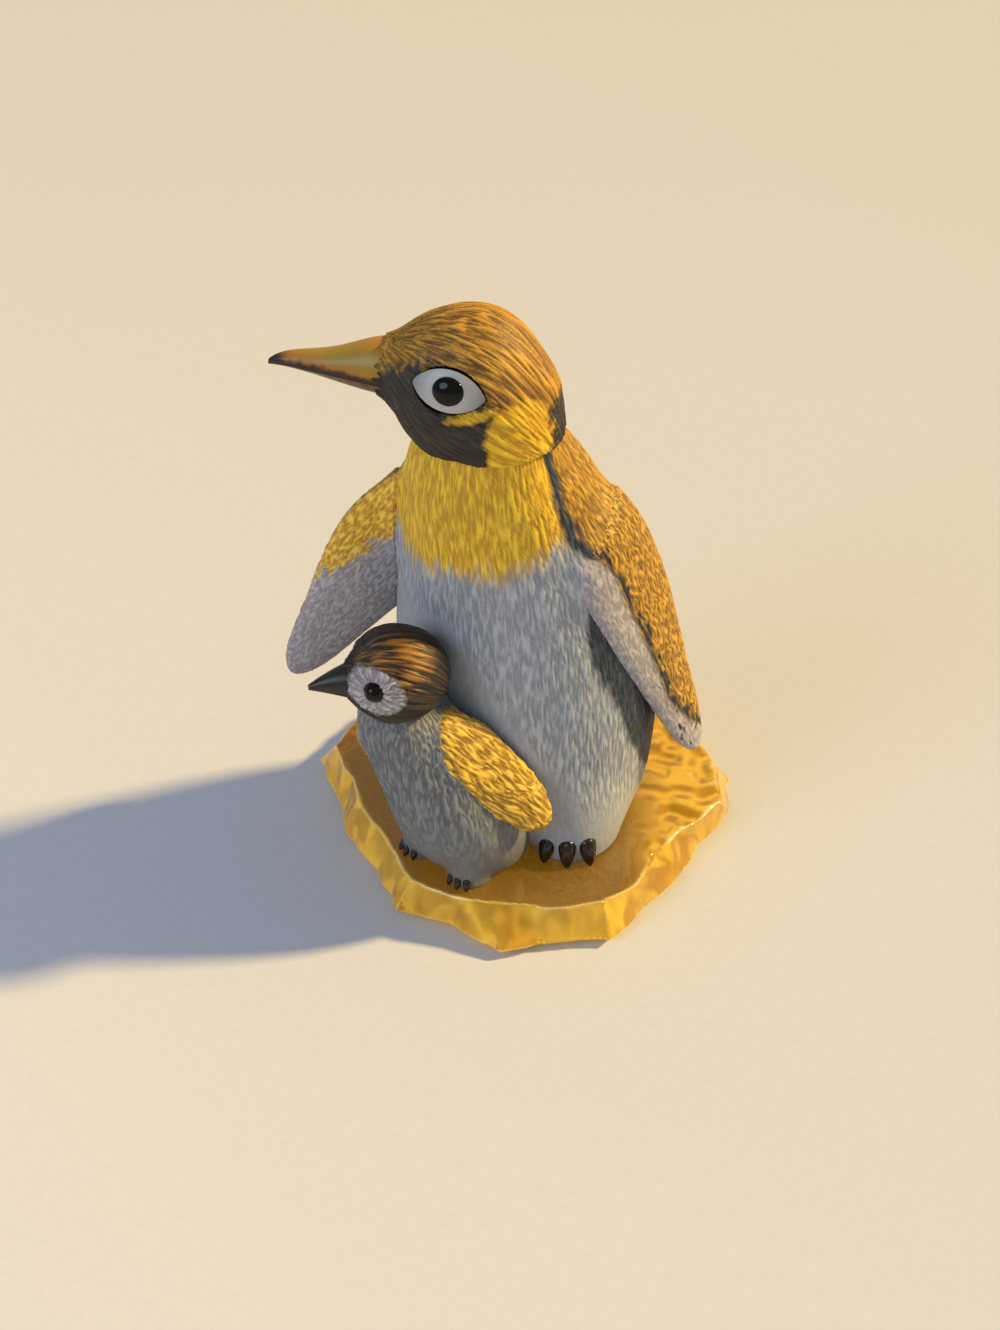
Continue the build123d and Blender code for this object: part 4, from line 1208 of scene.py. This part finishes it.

# %% [markdown]
# ## The ice floe: resin
# Honey-coloured resin lets light through and gathers it in the rim. Full transmission would be truest, but it
# shows noise and loses the chips in a short render. So the rim is partly opaque and has a painted glow, a
# faint emission, and its edges carry painted highlights, so they are lightest. The top is nearly clear.

# %% Ice floe: clear honey resin
# Clear polyester resin, cast and polished: IOR 1.5, sharp lights, amber where thick, with painted highlights on
# the chip edges. Its clouds are drawn 6 mm wide, about the size of one chip.
CLOUD = 6.0
resin, tree, shader = blank("cast_clear_honey_resin")
coords = node(tree, "ShaderNodeTexCoord").outputs["Object"]
chip, top, edge = [node(tree, "ShaderNodeAttribute", attribute_name=name).outputs["Fac"]
                   for name in ("chip", "top", "edge")]
cloud = node(tree, "ShaderNodeTexNoise",
             {"Vector": coords, "Scale": 1 / (CLOUD * MM), "Detail": 3.0}).outputs["Fac"]
depth = node(tree, "ShaderNodeMath", {0: cloud, 1: 0.7, 2: chip}, operation="MULTIPLY_ADD").outputs[0]
depth = node(tree, "ShaderNodeMapRange", {"Value": depth, "From Min": 0.2, "From Max": 1.4}).outputs[0]
rim_honey, top_honey = [
    node(tree, "ShaderNodeMix", {0: depth, 6: paint(deep), 7: paint(light)}, data_type="RGBA").outputs[2]
    for deep, light in (("#a8780e", "#f4c63c"), ("#a88236", "#cfa857"))]
honey = node(tree, "ShaderNodeMix", {0: top, 6: rim_honey, 7: top_honey}, data_type="RGBA").outputs[2]
# Painted highlight: the sharp edges are lightest.
honey = node(tree, "ShaderNodeMix", {0: edge, 6: honey, 7: paint("#ffe9a0")}, data_type="RGBA").outputs[2]
# Painted light: the rim glows by emission, the top does not.
painted_glow = node(tree, "ShaderNodeMix", {0: top, 6: honey, 7: paint("#0c0802")}, data_type="RGBA").outputs[2]
clear = node(tree, "ShaderNodeMapRange", {"Value": top, "To Min": 0.3, "To Max": 0.85}).outputs[0]
for name, source in (("Base Color", honey), ("Emission Color", painted_glow), ("Transmission Weight", clear)):
    tree.links.new(source, shader.inputs[name])
shader.inputs["Emission Strength"].default_value = 0.22
shader.inputs["IOR"].default_value = 1.5
shader.inputs["Roughness"].default_value = 0.05
dress(floe, resin)
settle(floe, "floe_resin", "ice_floe")

# %% [markdown]
# ## Size
# The skins stay within the solids' box, apart from the height of the strokes.

# %% Sizes and finish
low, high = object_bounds()
print("visual box in mm:", [round(v / MM, 1) for v in high - low])
